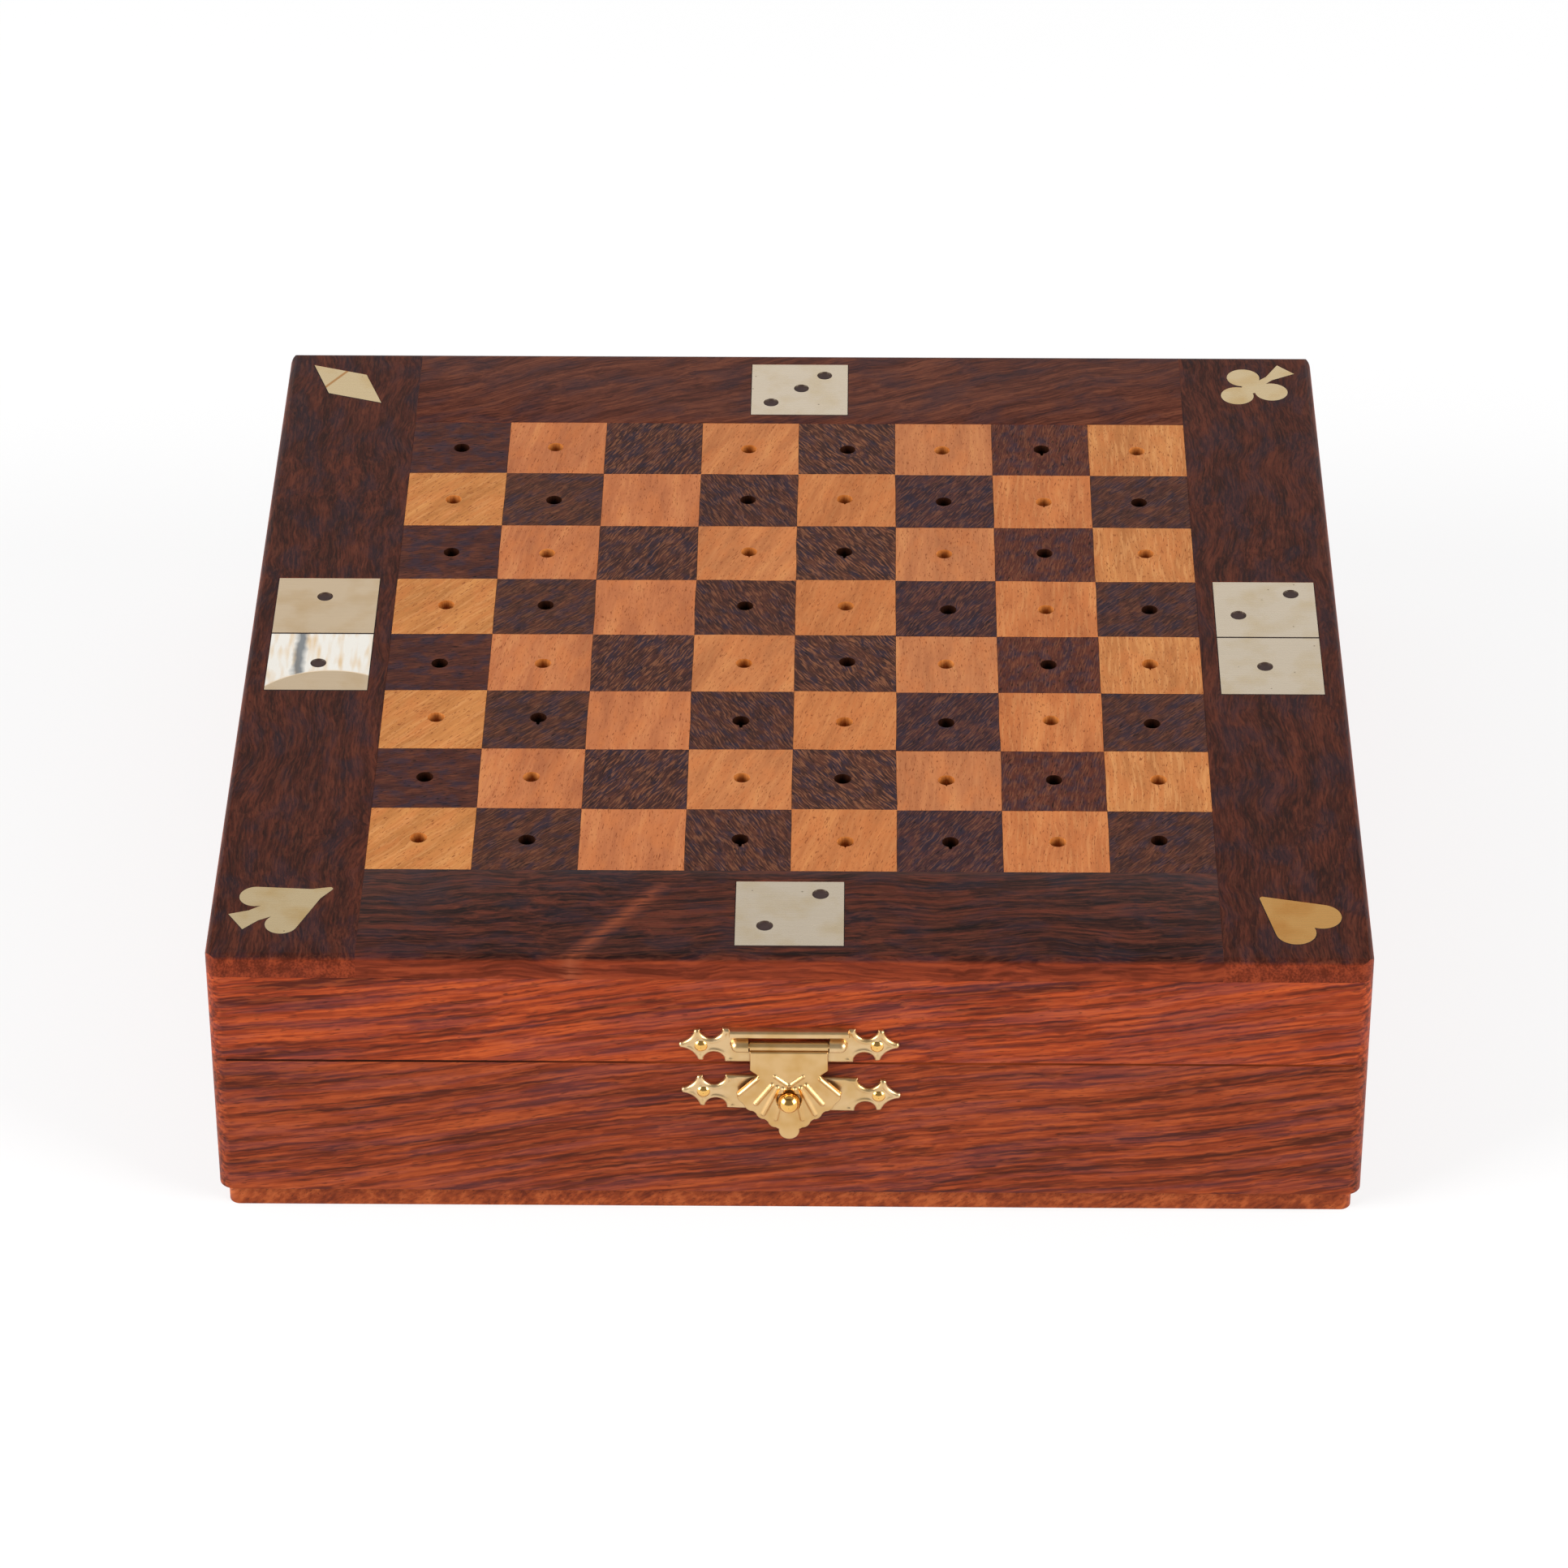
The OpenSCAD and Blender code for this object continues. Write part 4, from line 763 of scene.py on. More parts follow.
def square_block(node, given, place):
    """A block that hangs below its own middle, with its upper edges broken by the ease."""
    size = node("CombineXYZ", given["Side"], given["Side"], given["Thickness"])
    half_down = node("Math MULTIPLY", given["Thickness"], -0.5)
    down = node("CombineXYZ", 0.0, 0.0, half_down)
    block = node("Transform", {"Geometry": node("MeshCube", size, 9, 9, 3), "Translation": down})
    height = node("SeparateXYZ", place, out="Z")
    upper = node("Math MULTIPLY", half_down, 0.2)
    at_top = node("Math GREATER_THAN", height, upper)
    at_waist = node("Math COMPARE", height, half_down, 0.0005)
    half_side = node("Math MULTIPLY", given["Side"], 0.5)
    narrow = node("Math DIVIDE", given["Ease"], half_side)
    narrow = node("Math SUBTRACT", 1.0, narrow)
    top = node("VectorMath MULTIPLY", place, node("CombineXYZ", narrow, narrow, 1.0))
    block = node("SetPosition", block, at_top, top)
    down = node("CombineXYZ", 0.0, 0.0, node("Math MULTIPLY", given["Ease"], -1.0))
    waist = node("VectorMath ADD", node("VectorMath MULTIPLY", place, FLAT), down)
    return node("SetPosition", block, at_waist, waist)


def bored_blocks(node, given, block):
    """The plain block, the block after a drill, and after a drill that lifted a chip at the rim."""
    deep = node("Math MULTIPLY", given["Thickness"], 3.0)
    drill = node("MeshCylinder", {"Vertices": 28, "Radius": given["Hole radius"], "Depth": deep})
    chip = node("MeshIcoSphere", {"Radius": given["Chip"], "Subdivisions": 2})
    chip_at = node("Math MULTIPLY", given["Chip"], 0.25)
    chip_at = node("Math ADD", given["Hole radius"], chip_at)
    chip_at = node("CombineXYZ", 0.0, node("Math MULTIPLY", chip_at, -1.0))
    chip = node("Transform", {"Geometry": chip, "Scale": (0.55, 1.0, 0.7), "Translation": chip_at})
    tools = [node("StoreNamedAttribute BOOLEAN", tool, None, "cut", True, domain="FACE")
             for tool in (drill, chip)]
    block, *tools = [node("SetMaterial", shape, None, given["Wood"]) for shape in (block, *tools)]
    return [block] + [node("MeshBoolean DIFFERENCE", block, cutters, solver="EXACT")
                      for cutters in (tools[:1], tools)]


print("block and drills ready")

# %% [markdown]
# ## Laying and wavering
#
# The blocks go on the points, and a whole board of them would look printed. So the finished mesh is
# moved a little: round each hole by a step of its square's own, which sets the hole off centre, and
# everywhere by a slow noise and a step of its strip's own, which lets the joints waver. Near the
# border strips the second push dies away, because they are planed straight.

# %% Blocks on their points
def laid_blocks(node, given, place, file, blocks):
    """Blocks on the points, which keep their own middle as an attribute."""
    points = node("StoreNamedAttribute FLOAT_VECTOR", given["Geometry"], None, "middle", place,
                  domain="POINT")
    bare = node("Compare EQUAL", file, given["Undrilled"], data_type="INT")
    drilled = node("BooleanMath NOT", bare)
    luck = node("RandomValue FLOAT", 0.0, 1.0, None, node("Math ADD", given["Seed"], 1))
    chipped = node("Compare LESS_THAN", luck, CHIPPED_SHARE, data_type="FLOAT")
    whole = node("BooleanMath NOT", chipped)
    picks = [bare] + [node("BooleanMath AND", drilled, kind) for kind in (whole, chipped)]
    laid = [node("InstanceOnPoints", points, picked, shape) for shape, picked in zip(blocks, picks)]
    return node("RealizeInstances", node("JoinGeometry", laid))


print("laying ready")

# %% Grain, wandering holes and wavering joints
CHIPPED_SHARE, WAVE_SCALE, WAVE_REACH = 0.3, 90.0, (1.6, 1.6, 0)


def grained(node, made, inside, cell):
    """Stores each square's own grain: turned by its slant and moved to a place of its own."""
    slant = node("InputNamedAttribute FLOAT", "slant")
    slant = node("Math MULTIPLY", slant, -1.0)
    grain = node("VectorRotate", {"Vector": inside, "Angle": slant}, rotation_type="Z_AXIS")
    grain = node("VectorMath ADD", grain, cell)
    return node("StoreNamedAttribute FLOAT_VECTOR", made, None, "grain", grain, domain="POINT")


def wandered(node, given, made, inside, cell):
    """Moves each hole off the middle of its square."""
    reach = node("VectorMath LENGTH", node("VectorMath MULTIPLY", inside, FLAT))
    far, close = [node("Math MULTIPLY", given["Hole radius"], k) for k in (2.2, 1.7)]
    drift = node("MapRange", reach, far, close, 0.0, 1.0)
    drift = node("Math MULTIPLY", drift, given["Drift of holes"])
    astray = node("VectorMath SUBTRACT", cell, HALF)
    astray = node("VectorMath MULTIPLY", astray, FLAT)
    astray = node("VectorMath MULTIPLY", astray, node("CombineXYZ", drift, drift))
    return node("SetPosition", made, None, None, astray)


def wavered(node, given, made, place, file):
    """Moves the joints, but not at the border strips, half a board from the middle."""
    wave = node("TexNoise", {"Vector": place, "Scale": WAVE_SCALE, "Detail": 1.0}, out="Color")
    wave = node("VectorMath SUBTRACT", wave, HALF)
    wave = node("VectorMath MULTIPLY", wave, WAVE_REACH)
    seed = node("Math ADD", given["Seed"], 3)
    step = node("RandomValue FLOAT_VECTOR", (0, -1, 0), (0, 1, 0), file, seed)
    calm = 1.0
    half_board = node("Math MULTIPLY", given["Side"], 4.0)
    for across in node("SeparateXYZ", place, out=None)[:2]:
        off = node("Math ABSOLUTE", node("Math DIVIDE", across, half_board))
        free = node("Math SUBTRACT", 1.0, node("Math POWER", off, 6.0))
        calm = node("Math MULTIPLY", calm, node("Math MAXIMUM", free, 0.0))
    reach = node("Math MULTIPLY", calm, given["Waver"])
    wave = node("VectorMath ADD", wave, step)
    wave = node("VectorMath MULTIPLY", wave, node("CombineXYZ", reach, reach))
    return node("SetPosition", made, None, None, wave)


print("wavering ready")

# %% The whole tree
def squares_tree():
    """Lays blocks on points, lets their holes and joints waver, and sets their woods."""
    sizes = ("Side", "Thickness", "Ease", "Hole radius", "Waver", "Drift of holes", "Chip")
    tree, given, node = new_tree("glued_squares", [(name, "Float") for name in sizes] + [
        ("Undrilled", "Int"), ("Seed", "Int"), ("Wood", "Material"), ("Raw wood and shade", "Material")])
    place = node("InputPosition")
    file = node("InputNamedAttribute INT", "file")
    blocks = bored_blocks(node, given, square_block(node, given, place))
    made = laid_blocks(node, given, place, file, blocks)
    middle = node("InputNamedAttribute FLOAT_VECTOR", "middle")
    inside = node("VectorMath SUBTRACT", place, middle)
    cell = node("VectorMath ADD", middle, HALF)
    cell = node("TexWhiteNoise", cell, out="Color", noise_dimensions="3D")
    made = grained(node, made, inside, cell)
    made = wandered(node, given, made, inside, cell)
    made = wavered(node, given, made, place, file)
    # Cut faces take the raw wood; in the dark squares it carries painted shade
    cut = node("InputNamedAttribute BOOLEAN", "cut")
    node("NodeGroupOutput", node("SetMaterial", made, cut, given["Raw wood and shade"]))
    return tree


glued_squares = squares_tree()
print("tree of the board:", len(glued_squares.nodes), "nodes")

# %% Gluing the board
def baked(mesh, tree, name, values):
    """Runs a node tree on a mesh and returns the plain mesh that it makes."""
    holder = bpy.data.objects.new(name + "_points", mesh)
    bpy.context.scene.collection.objects.link(holder)
    runs = holder.modifiers.new(name, "NODES")
    runs.node_group = tree
    for item in tree.interface.items_tree:
        if item.in_out == "INPUT" and item.name in values:
            runs[item.identifier] = values[item.name]
    ready = holder.evaluated_get(bpy.context.evaluated_depsgraph_get())
    made = bpy.data.meshes.new_from_object(ready)
    bpy.data.objects.remove(holder)
    made.name = name
    while made.materials and made.materials[0] is None:
        made.materials.pop(index=0)  # a mesh made by nodes starts with an empty slot
    return made


# The dark squares' hole walls are painted darker than the squares, as painted shade
for node, parity, strips, material, raw_wood_and_shade, chip, seed in (
    ("light_squares", 1, PALE_STRIPS, pale_wood, raw_pale_wood, 0.3, 4),
    ("dark_squares", 0, DARK_STRIPS, dark_wood, raw_dark_wood_painted_shade, 0.55, 9),
):
    laid = baked(strip_points(parity, strips), glued_squares, node + "_glued", {
        "Side": SQUARE, "Thickness": SQUARE_BOX[1].z - SQUARE_BOX[0].z, "Ease": 0.07 * MM,
        "Hole radius": 1.35 * MM, "Waver": 0.25 * MM, "Drift of holes": 0.9 * MM,
        "Chip": chip * MM, "Undrilled": UNDRILLED_FILE, "Seed": seed, "Wood": material,
        "Raw wood and shade": raw_wood_and_shade,
    })
    dress(laid, [], [node], 30)
    drilled = sum(face.material_index for face in laid.polygons)
    print(node, "faces", len(laid.polygons), "drilled", drilled)

# %% [markdown]
# ## Pressed brass hasp
#
# The hasp is stamped from thin sheet: the press cuts the outline, rounds the rim and raises beads
# along the stars' edges, a V, and flutes that fan out to a scalloped edge. The outline is read
# from the CAD plate, filled with a fine mesh, and raised by a function of the place and of the
# distance to the rim. A sculptor's brush could do it too, but a formula keeps both stars alike.

# %% Reading a plate's outline
def middle_of(node):
    """The middle of a CAD node's box."""
    low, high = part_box(node)
    return (low + high) / 2


def front_place(x, z, slant=0.0):
    """The plate's own place on the front: x across, y up and z out of the wood, in millimetres."""
    return (Matrix.Translation((x, FRONT_Y, z)) @ Matrix.Rotation(math.pi / 2, 4, "X")
            @ Matrix.Rotation(slant, 4, "Z") @ Matrix.Scale(MM, 4))


def outline_of(node, place, depth):
    """Loops round the faces of a CAD solid that lie at one depth of its place."""
    shape = bmesh.new()
    shape.from_mesh(nodes[node].data)
    shape.transform(place.inverted())
    bmesh.ops.remove_doubles(shape, verts=shape.verts, dist=0.002)
    flat = {f for f in shape.faces if all(abs(v.co.z - depth) < 0.01 for v in f.verts)}
    rim = [e for e in shape.edges if sum(f in flat for f in e.link_faces) == 1]
    follows = {}
    for edge in rim:
        for a, b in (edge.verts, reversed(edge.verts)):
            follows.setdefault(a, []).append(b)
    loops = []
    while follows:
        start = next(iter(follows))
        loop, here, before = [], start, None
        while here is not None and here in follows:
            ahead = [v for v in follows.pop(here)
                     if v is not before and (v in follows or v is start)]
            loop.append((here.co.x, here.co.y))
            before, here = here, (ahead[0] if ahead and ahead[0] is not start else None)
        loops.append(np.array(loop))
    shape.free()
    return loops


SHEET = 0.6
PLATE_SLANT = math.radians(-1.6)
upper_nails, lower_nails = middle_of("latch_upper_nails"), middle_of("latch_lower_nails")
upper_at = front_place(upper_nails.x, upper_nails.z)
lower_at = front_place(lower_nails.x, lower_nails.z, PLATE_SLANT)
upper_loops = outline_of("latch_upper_plate", upper_at, 0)
print("loops of the upper plate:", [len(loop) for loop in upper_loops])

# %% Filling the outline with fine triangles
RING_INSETS = (0.05, 0.12, 0.22)
GRID_INSET = 0.32


def evenly(loop, pitch):
    """The same loop with points no further apart than the pitch."""
    made = []
    for a, b in zip(loop, np.roll(loop, -1, axis=0)):
        count = max(1, math.ceil(np.linalg.norm(b - a) / pitch))
        made += [a + (b - a) * i / count for i in range(count)]
    return np.array(made)


def rim_distance(points, loops):
    """Distance from each point to the nearest edge of the loops, and whether it lies inside."""
    nearest = np.full(len(points), 1e9)
    inside = np.zeros(len(points), bool)
    for loop in loops:
        for a, b in zip(loop, np.roll(loop, -1, axis=0)):
            along = b - a
            t = np.clip(((points - a) @ along) / (along @ along), 0, 1)
            nearest = np.minimum(nearest, np.linalg.norm(points - a - t[:, None] * along, axis=1))
            crossed = (a[1] > points[:, 1]) != (b[1] > points[:, 1])
            with np.errstate(divide="ignore", invalid="ignore"):
                at = a[0] + (points[:, 1] - a[1]) * along[0] / along[1]
            inside ^= crossed & (points[:, 0] < at)
    return nearest, inside


def fill_points(rims, loops, pitch):
    """A grid inside the loops, and rings that follow each rim, where the sheet turns most."""
    low, high = np.min(rims[0], axis=0), np.max(rims[0], axis=0)
    grid = np.meshgrid(*[np.arange(low[k], high[k], pitch) for k in (0, 1)])
    grid = np.stack(grid, axis=-1).reshape(-1, 2)
    deep, held = rim_distance(grid, loops)
    made = [grid[held & (deep > GRID_INSET)]]
    for rim in rims:
        step = np.roll(rim, -1, axis=0) - np.roll(rim, 1, axis=0)
        side = np.stack([-step[:, 1], step[:, 0]], axis=1) / np.linalg.norm(step, axis=1)[:, None]
        for inset in RING_INSETS:
            for way in (-1, 1):
                ring = rim + way * inset * side
                deep, held = rim_distance(ring, loops)
                made.append(ring[held & (deep > 0.9 * inset)])
    return np.concatenate(made)


def filled(loops, pitch):
    """Fine triangles inside the loops: their points, and three numbers for each."""
    rims = [evenly(loop, pitch) for loop in loops]
    edges, start = [], 0
    for rim in rims:
        count = len(rim)
        edges += [(start + i, start + (i + 1) % count) for i in range(count)]
        start += count
    points = np.concatenate(rims + [fill_points(rims, loops, pitch)])
    flat, _, faces, *_ = delaunay_2d_cdt([Vector(p) for p in points.tolist()], edges, [], 0, 1e-5)
    flat = np.array([tuple(v) for v in flat])
    faces = np.array([f for f in faces if len(f) == 3])
    _, kept = rim_distance(flat[faces].mean(axis=1), loops)
    return flat, faces[kept]


print("triangles in the upper plate at 1 mm:", len(filled(upper_loops, 1.0)[1]))

# %% Pressing a sheet
def pressed(name, loops, place, pitch, front, back):
    """A closed sheet in the loops. front and back give its heights from x, y and rim distance."""
    flat, faces = filled(loops, pitch)
    deep, _ = rim_distance(flat, loops)
    shape = bmesh.new()
    sides = [np.column_stack([flat, side(*flat.T, deep)]).tolist() for side in (front, back)]
    upper, lower = [[shape.verts.new(point) for point in points] for points in sides]
    for a, b, c in faces.tolist():
        shape.faces.new((upper[a], upper[b], upper[c]))
        shape.faces.new((lower[c], lower[b], lower[a]))
    twin = dict(zip(upper, lower))
    for edge in [e for e in shape.edges if len(e.link_faces) == 1 and e.verts[0] in twin]:
        loop = edge.link_loops[0]
        a, b = loop.vert, loop.link_loop_next.vert
        shape.faces.new((b, a, twin[a], twin[b]))
    bmesh.ops.delete(shape, geom=[v for v in shape.verts if not v.link_faces], context="VERTS")
    shape.transform(place)
    bmesh.ops.recalc_face_normals(shape, faces=shape.faces)
    mesh = bpy.data.meshes.new(name)
    shape.to_mesh(mesh)
    shape.free()
    return mesh


print("press ready")

# %% [markdown]
# ## What the press raises
#
# Each raised form is a small function of the place on the plate, in millimetres: a ridge between
# two points, a rim that falls like a quarter round, and a lying rod. A plate is then the sum or the
# highest of a few of them, just as a die is cut from a few kinds of tool.

# %% Forms of the die
def ridge(x, y, start, end, half_width, height):
    """A rounded ridge between two points, gone at a few half widths from them."""
    along = np.subtract(end, start)
    t = np.clip(((x - start[0]) * along[0] + (y - start[1]) * along[1]) / (along @ along), 0, 1)
    away = np.hypot(x - start[0] - t * along[0], y - start[1] - t * along[1])
    return height * np.exp(-((away / half_width) ** 2))


def rounded_rim(deep, radius):
    """How far the face falls near the rim, as a quarter round."""
    near = np.clip(1 - deep / radius, 0, 1)
    return radius * (1 - np.sqrt(1 - near**2))


FAR_DOWN = 9.0  # below any plate, so that the rod leaves what lies beside it alone


def swell(x, y, low_x, high_x, axis_y, axis_z, radius):
    """Height of a lying rod whose ends are rounded off like a ball."""
    past = np.maximum(np.maximum(low_x - x, x - high_x), 0)
    top = axis_z + np.sqrt(np.maximum(radius**2 - (y - axis_y) ** 2 - past**2, 0))
    return top - FAR_DOWN * (np.hypot(y - axis_y, past) >= radius)


print("quarter round of 0.34 mm falls", round(float(rounded_rim(0.0, 0.34)), 2), "mm at the rim")

# %% Pressing the two plates
STAR_FROM, RIM_ROUND = 8.2, 0.34
BEAD_IN, BEAD_HIGH, BEAD_HALF = 0.5, 0.13, 0.2
BAR_Y, BAR_HALF, BAR_END, BAR_TOP = 2.45, 0.7, 9.2, 1.42
BOSS_FROM, BOSS_TO, BOSS_Y, BOSS_Z, BOSS_R = 6.2, 7.9, 0.3, 1.0, 1.02


def star_relief(x, y, deep):
    """Sheet with a rounded rim. The stars and shoulders have a bead along it, and sink inside."""
    out = np.clip((np.abs(x) - STAR_FROM) / 0.8, 0, 1)
    bead = BEAD_HIGH * np.exp(-(((deep - BEAD_IN) / BEAD_HALF) ** 2))
    sunk = 0.10 * np.clip((deep - 0.55) / 0.5, 0, 1)
    return SHEET - rounded_rim(deep, RIM_ROUND) + out * (bead - sunk)


def upper_relief(x, y, deep):
    """The upper plate adds a moulded bar above the window and a boss on each side of it."""
    face = star_relief(x, y, deep)
    up = np.abs(y - BAR_Y) / BAR_HALF
    crown = BAR_TOP - 0.42 * np.clip(up, 0, 1) ** 4
    bar = np.where((up < 1) & (np.abs(x) < BAR_END), crown, 0)
    for side in (-1, 1):
        inner, outer = sorted((side * BOSS_FROM, side * BOSS_TO))
        face = np.maximum(face, swell(x, y, inner, outer, BOSS_Y, BOSS_Z, BOSS_R))
    return np.maximum(face, bar)


def flat_back(x, y, deep):
    """A back that lies flat on the wood."""
    return np.zeros_like(x)


PLATE_PITCH = 0.16
for node, place, relief in (("latch_upper_plate", upper_at, upper_relief),
                            ("latch_lower_plate", lower_at, star_relief)):
    loops = outline_of(node, place, 0)
    sheet = pressed(node + "_pressed", loops, place, PLATE_PITCH, relief, flat_back)
    dress(sheet, [hasp_brass], [node], 50)
    print(node, "faces", len(sheet.polygons))

# %% [markdown]
# ## The flap
#
# It is a shell: a plain tongue that hangs from a rolled edge, then a V and raised shoulders, then
# flutes that fan out from one point to the scallops, with a shallow groove between petals. Its
# lower end bows a little towards the wood. It is pressed finer than the plates, because it is
# looked at most.

# %% Relief of the flap
FLAP_BACK, FLAP_SHEET, FLAP_UP = 1.25, 0.5, 0.3
FAN_TOP = -3.2
FLUTES = ((11, 10.6), (23, 10.2), (35, 9.0))
PETAL_EDGES = np.array([8.2, 18.3, 30.1, 43.1])


def bowl(y):
    """How far the lower end bows to the wood."""
    return 0.1 * np.clip((-y - 8.5) / 5, 0, 1)


def flap_relief(x, y, deep):
    """A plain tongue; below it a V, raised shoulders and flutes that fan out to the scallops."""
    raised = np.zeros_like(x)
    for side in (-1, 1):
        raised += ridge(x, y, (side * 2.15, -5.3), (side * 0.12, -7.05), 0.26, 0.32)
        raised += ridge(x, y, (side * 4.8, -5.8), (side * 7.7, -8.8), 0.28, 0.32)
        for turn, reach in FLUTES:
            sine, cosine = math.sin(math.radians(turn)), math.cos(math.radians(turn))
            start = (side * 4.6 * sine, FAN_TOP - 4.6 * cosine)
            end = (side * reach * sine, FAN_TOP - reach * cosine)
            raised += ridge(x, y, start, end, 0.34, 0.42)
    away = np.degrees(np.arctan2(np.abs(x), FAN_TOP - y))
    far = np.clip((np.hypot(x, y - FAN_TOP) - 6.5) / 4, 0, 1)
    raised -= 0.12 * far * np.exp(-((np.abs(away[:, None] - PETAL_EDGES).min(axis=1) / 2.2) ** 2))
    raised += ridge(x, y, (-1.5, -4.9), (1.5, -4.9), 0.5, 0.05)
    return FLAP_BACK + FLAP_SHEET - rounded_rim(deep, 0.3) + raised - bowl(y)


def flap_back(x, y, deep):
    """The hollow side of the flap."""
    return np.full_like(x, FLAP_BACK) - bowl(y)


print("flutes at", [turn for turn, _ in FLUTES], "degrees")

# %% Pressing the flap, rolled round its rod
ROLLED_EDGE, ROD = (0.75, 12), (0.4, 16)
flap_at = front_place(upper_nails.x, upper_nails.z + FLAP_UP * MM)
rod_at = flap_at @ Matrix.Translation((0, 0, 1)) @ Matrix.Rotation(math.pi / 2, 4, "Y")
flap_loops = outline_of("latch_flap", flap_at, FLAP_BACK)
flap_sheet = pressed("latch_flap_pressed", flap_loops, flap_at, 0.11, flap_relief, flap_back)
roll = bmesh.new()
roll.from_mesh(flap_sheet)
for radius, length in (ROLLED_EDGE, ROD):
    bmesh.ops.create_cone(roll, cap_ends=True, segments=40, radius1=radius, radius2=radius,
                          depth=length, matrix=rod_at)
roll.to_mesh(flap_sheet)
roll.free()
dress(flap_sheet, [flap_brass], ["latch_flap"], 50)
print("flap loops", [len(loop) for loop in flap_loops], "faces", len(flap_sheet.polygons))

# %% [markdown]
# ## Felt
#
# A thin felt lines the floor of the tray and the inside of the lid. It was cut flat and laid in,
# and its edges are a little fuzzy, so it is a sheet and not a board: a fine grid whose face rises
# and falls by a few hundredths of a millimetre.

# %% Felt linings
FELT_GRID, CUT, NAP = 81, 0.998, 0.03


def felt_sheet(node):
    """A sheet of felt in the place of a lining, cut a little smaller, with its nap in mm."""
    low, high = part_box(node)
    width, length = high.x - low.x, high.y - low.y
    shape = bmesh.new()
    bmesh.ops.create_grid(shape, x_segments=FELT_GRID, y_segments=FELT_GRID, size=0.5)
    thick = (high.z - low.z) * 0.9
    rng = random.Random(5)
    for vert in shape.verts:
        vert.co = Vector((vert.co.x * width * CUT, vert.co.y * length * CUT,
                          rng.uniform(-NAP, NAP) * MM))
    rim = bmesh.ops.extrude_face_region(shape, geom=shape.faces[:])
    for item in rim["geom"]:
        if isinstance(item, bmesh.types.BMVert):
            item.co.z -= thick
    bmesh.ops.recalc_face_normals(shape, faces=shape.faces)
    middle = (low + high) / 2
    shape.transform(Matrix.Translation((middle.x, middle.y, high.z - 0.04 * MM)))
    mesh = bpy.data.meshes.new(node + "_sheet")
    shape.to_mesh(mesh)
    shape.free()
    piece = dress(mesh, [felt], [node], 60)
    return piece


felt_sheet("base_lining")
felt_sheet("lid_lining")
print("felt laid")

# %% [markdown]
# ## Brass inlays and their pips
#
# The card suits, the dice and the dominoes are cut from brass sheet and let into the border, then
# glued and rubbed flush with the wood. Where plate and wood meet stays a thin dark line of glue,
# so the broken corner of each plate gets the glue's material. The pips are drilled and filled
# with wax.

# %% Inlays
INLAYS = {"diamond": diamond_brass, "club": suit_brass, "heart": heart_brass, "spade": suit_brass,
          "die_back": plate_brass, "die_front": plate_brass, "domino_left": bowed_brass_painted_reflection,
          "domino_right": plate_brass}
for figure, brass in INLAYS.items():
    shortest = 3 if figure.startswith("d") and figure != "diamond" else 0
    eased("inlay_" + figure, brass, 0.14, shortest, rim=(glue_line, bool))
eased("inlay_pips", pip_filler)
print("inlays let in")

# %% [markdown]
# ## Hinges, nails and stud
#
# Two butt hinges join lid and tray at the back: stamped leaves let into the boards, a steel pin
# and four small screws each. Brass nails with domed heads hold the hasp, and the flap drops over
# a ball. The CAD solids have these shapes already, so they only get their metal and crisp corners.

# %% Small metal parts
for node in ("hinge_left_base_leaf", "hinge_right_base_leaf", "hinge_left_lid_leaf",
             "hinge_right_lid_leaf", "hinge_base_screws", "hinge_lid_screws"):
    eased(node, hinge_brass, 0.06)
eased("hinge_pins", pin_steel)
for node in ("latch_lower_nails", "latch_upper_nails", "latch_stud"):
    eased(node, nail_brass)
print("metal parts finished")

# %% [markdown]
# ## Chess men
#
# Travelling men are turned on a small lathe, with a peg under the foot that fits the board's holes.
# The light set is boxwood and the dark set rosewood, both lacquered, and they lie loose on the
# felt.

# %% Men
for side, material in (("light", light_men_wood), ("dark", dark_men_wood)):
    for man in ("pawns", "rooks", "knights", "bishops", "queen", "king"):
        eased(side + "_" + man, material)
print("men finished")

# %% [markdown]
# ## Cards
#
# Playing cards show their stock at the sides, as fine layers, and a printed lattice inside a bare
# margin on top. Both follow from the place on the pack, so one material draws them: thirds of a
# millimetre up the sides, and a lattice of 2.4 mm turned by 45 degrees.

# %% Printed back of a card
LATTICE, LEAVES = 2.4, 0.33


def lattice(node, own):
    """A lattice of crossed lines with a dot in each cell, turned by 45 degrees."""
    cell = node("Mapping", {"Vector": own, "Rotation": (0, 0, math.pi / 4),
                            "Scale": (1000 / LATTICE,) * 3})
    cell = node("VectorMath FRACTION", cell)
    cell = node("VectorMath ABSOLUTE", node("VectorMath SUBTRACT", cell, HALF))
    cell = node("SeparateXYZ", cell, out=None)
    line = node("MapRange", node("Math MAXIMUM", cell[0], cell[1]), 0.38, 0.42, 0.0, 1.0)
    dot = node("MapRange", node("Math ADD", cell[0], cell[1]), 0.20, 0.16, 0.0, 1.0)
    return node("Math MAXIMUM", line, dot)


def framed(node, own, drawn, half_size, margin):
    """What is drawn, kept inside a margin in mm, with a thin line round it."""
    away = node("VectorMath SUBTRACT", half_size, node("VectorMath ABSOLUTE", own))
    away = node("SeparateXYZ", away, out=None)
    away = node("Math MINIMUM", away[0], away[1])
    inside = node("Math GREATER_THAN", away, (margin + 1.0) * MM)
    line = node("Math COMPARE", away, (margin + 0.3) * MM, 0.3 * MM)
    return node("Math MAXIMUM", node("Math MULTIPLY", drawn, inside), line)


print("lattice of", LATTICE, "mm")

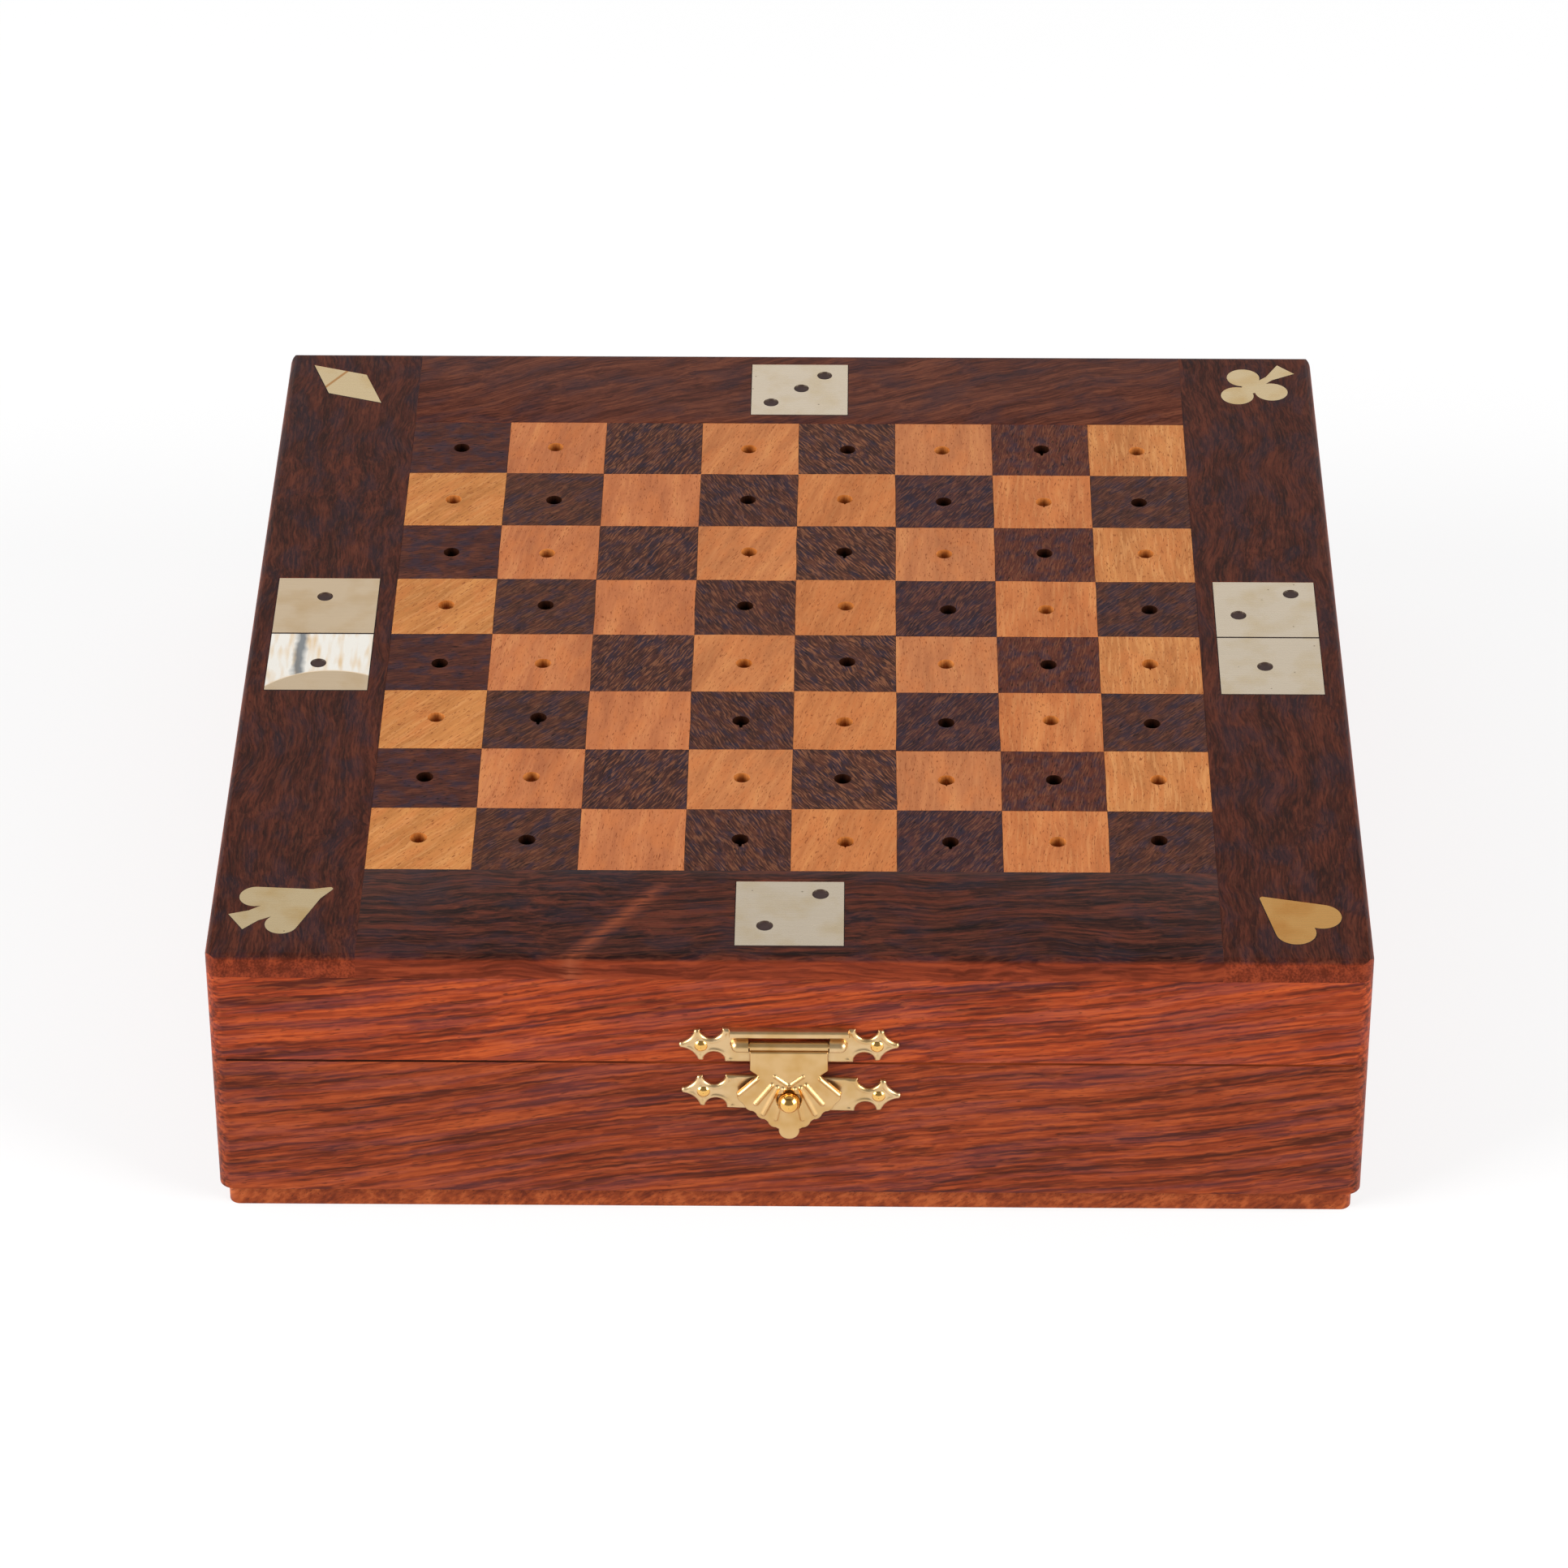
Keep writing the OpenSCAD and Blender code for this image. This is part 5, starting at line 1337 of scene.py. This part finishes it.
# %% The pack of cards
def printed_stock(low, high, margin):
    """Card stock: cream, smooth and faintly shiny, printed red on top and layered at the sides."""
    made, node = new_material("printed_card_stock")
    place = node("TexCoord", out=None)
    own = node("VectorMath SUBTRACT", place["Object"], (low + high) / 2)
    up = node("Math GREATER_THAN", node("SeparateXYZ", place["Normal"], out="Z"), 0.9)
    drawn = framed(node, own, lattice(node, own), (high - low) / 2, margin)
    drawn = node("Math MULTIPLY", drawn, up)
    layer = node("Math PINGPONG", node("SeparateXYZ", own, out="Z"), LEAVES * MM)
    layer = node("MapRange", layer, 0.24 * MM, LEAVES * MM, 0.0, 0.7)
    layer = node("Math SUBTRACT", layer, up, use_clamp=True)
    colour = node("Mix RGBA", layer, "#efe8d8", "#a79a84")
    colour = node("Mix RGBA", drawn, colour, "#7c2030")
    node("OutputMaterial", node("BsdfPrincipled", {"Base Color": colour, "Roughness": 0.45,
                                                   "Specular IOR Level": 0.35}))
    return made


eased("card_pack", printed_stock(*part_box("card_pack"), margin=3.5))
print("cards printed")

# %% [markdown]
# ## Dominoes
#
# Each tile is a slip of pale wood with a scored line and drops of black enamel for pips. The drops
# repeat by a rule, so Geometry Nodes set a flattened ball on each point; only the upper tile of
# each of the seven stacks shows its face.

# %% Places of the pips
TOP_TILES = [(6, 6), (5, 3), (4, 2), (6, 1), (3, 3), (5, 0), (2, 1)]
PIP_STEP_X, PIP_STEP_Y = 5.2, 5.6


def pip_places(value):
    """Places of the pips on a face, in steps from its middle."""
    return (([(0, 0)] if value % 2 else []) + ([(-1, -1), (1, 1)] if value > 1 else [])
            + ([(-1, 1), (1, -1)] if value > 3 else []) + ([(0, -1), (0, 1)] if value == 6 else []))


low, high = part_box("dominoes")
half = (high.y - low.y) / 4
spots = []
for i, values in enumerate(TOP_TILES):
    middle_x = low.x + (i + 0.5) * (high.x - low.x) / len(TOP_TILES)
    for side, value in zip((-1, 1), values):
        middle_y = (low.y + high.y) / 2 + side * half
        spots += [(middle_x + PIP_STEP_X * x * MM, middle_y + PIP_STEP_Y * y * MM, high.z)
                  for x, y in pip_places(value)]
print("pips:", len(spots))

# %% Tiles and their enamel drops
def drops_tree():
    """Sets a flattened ball on each point."""
    tree, given, node = new_tree("enamel_drops", [("Radius", "Float"), ("Height", "Float"),
                                                  ("Enamel", "Material")])
    ball = node("MeshUVSphere", {"Segments": 20, "Rings": 8, "Radius": 1.0})
    size = node("CombineXYZ", given["Radius"], given["Radius"], given["Height"])
    laid = node("InstanceOnPoints", {"Points": given["Geometry"], "Instance": ball, "Scale": size})
    laid = node("RealizeInstances", laid)
    node("NodeGroupOutput", node("SetMaterial", laid, None, given["Enamel"]))
    return tree


eased("dominoes", domino_wood, 0.3)
spot_mesh = bpy.data.meshes.new("pip_spots")
spot_mesh.from_pydata(spots, [], [])
drops = baked(spot_mesh, drops_tree(), "domino_pips", {"Radius": 1.35 * MM, "Height": 0.1 * MM,
                                                       "Enamel": enamel})
drops_piece = bpy.data.objects.new("domino_pips", drops)
bpy.context.scene.collection.objects.link(drops_piece)
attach(drops_piece, body_of("dominoes"))
print("pips of", [m.name for m in drops.materials], "faces", len(drops.polygons))

# %% [markdown]
# ## Dice
#
# The dice are cast resin with their corners ground off in a tumbler, and the pips are hollows with
# paint in them. The CAD solid has the hollows: a face of one lies nearer the die's middle than its
# sides do, and gets the paint.

# %% Dice with painted hollows
DICE = 5
low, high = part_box("dice")
DIE_HALF = (high.z - low.z) / 2
dice_corners = [[] for _ in range(DICE)]
for vert in nodes["dice"].data.vertices:
    dice_corners[int(DICE * (vert.co.x - low.x) / (high.x - low.x + 1e-6))].append(vert.co)
DIE_MIDDLES = [Vector([(min(c[k] for c in die) + max(c[k] for c in die)) / 2 for k in range(3)])
               for die in dice_corners]


def in_hollow(face):
    """True for a face of a pip's hollow."""
    at = face.calc_center_median()
    middle = min(DIE_MIDDLES, key=lambda m: (m - at).length)
    return face.normal.dot(at - middle) < DIE_HALF - 0.05 * MM


eased("dice", dice_resin, rim=(enamel, in_hollow))
print("dice:", [[round(v / MM, 1) for v in m] for m in DIE_MIDDLES])
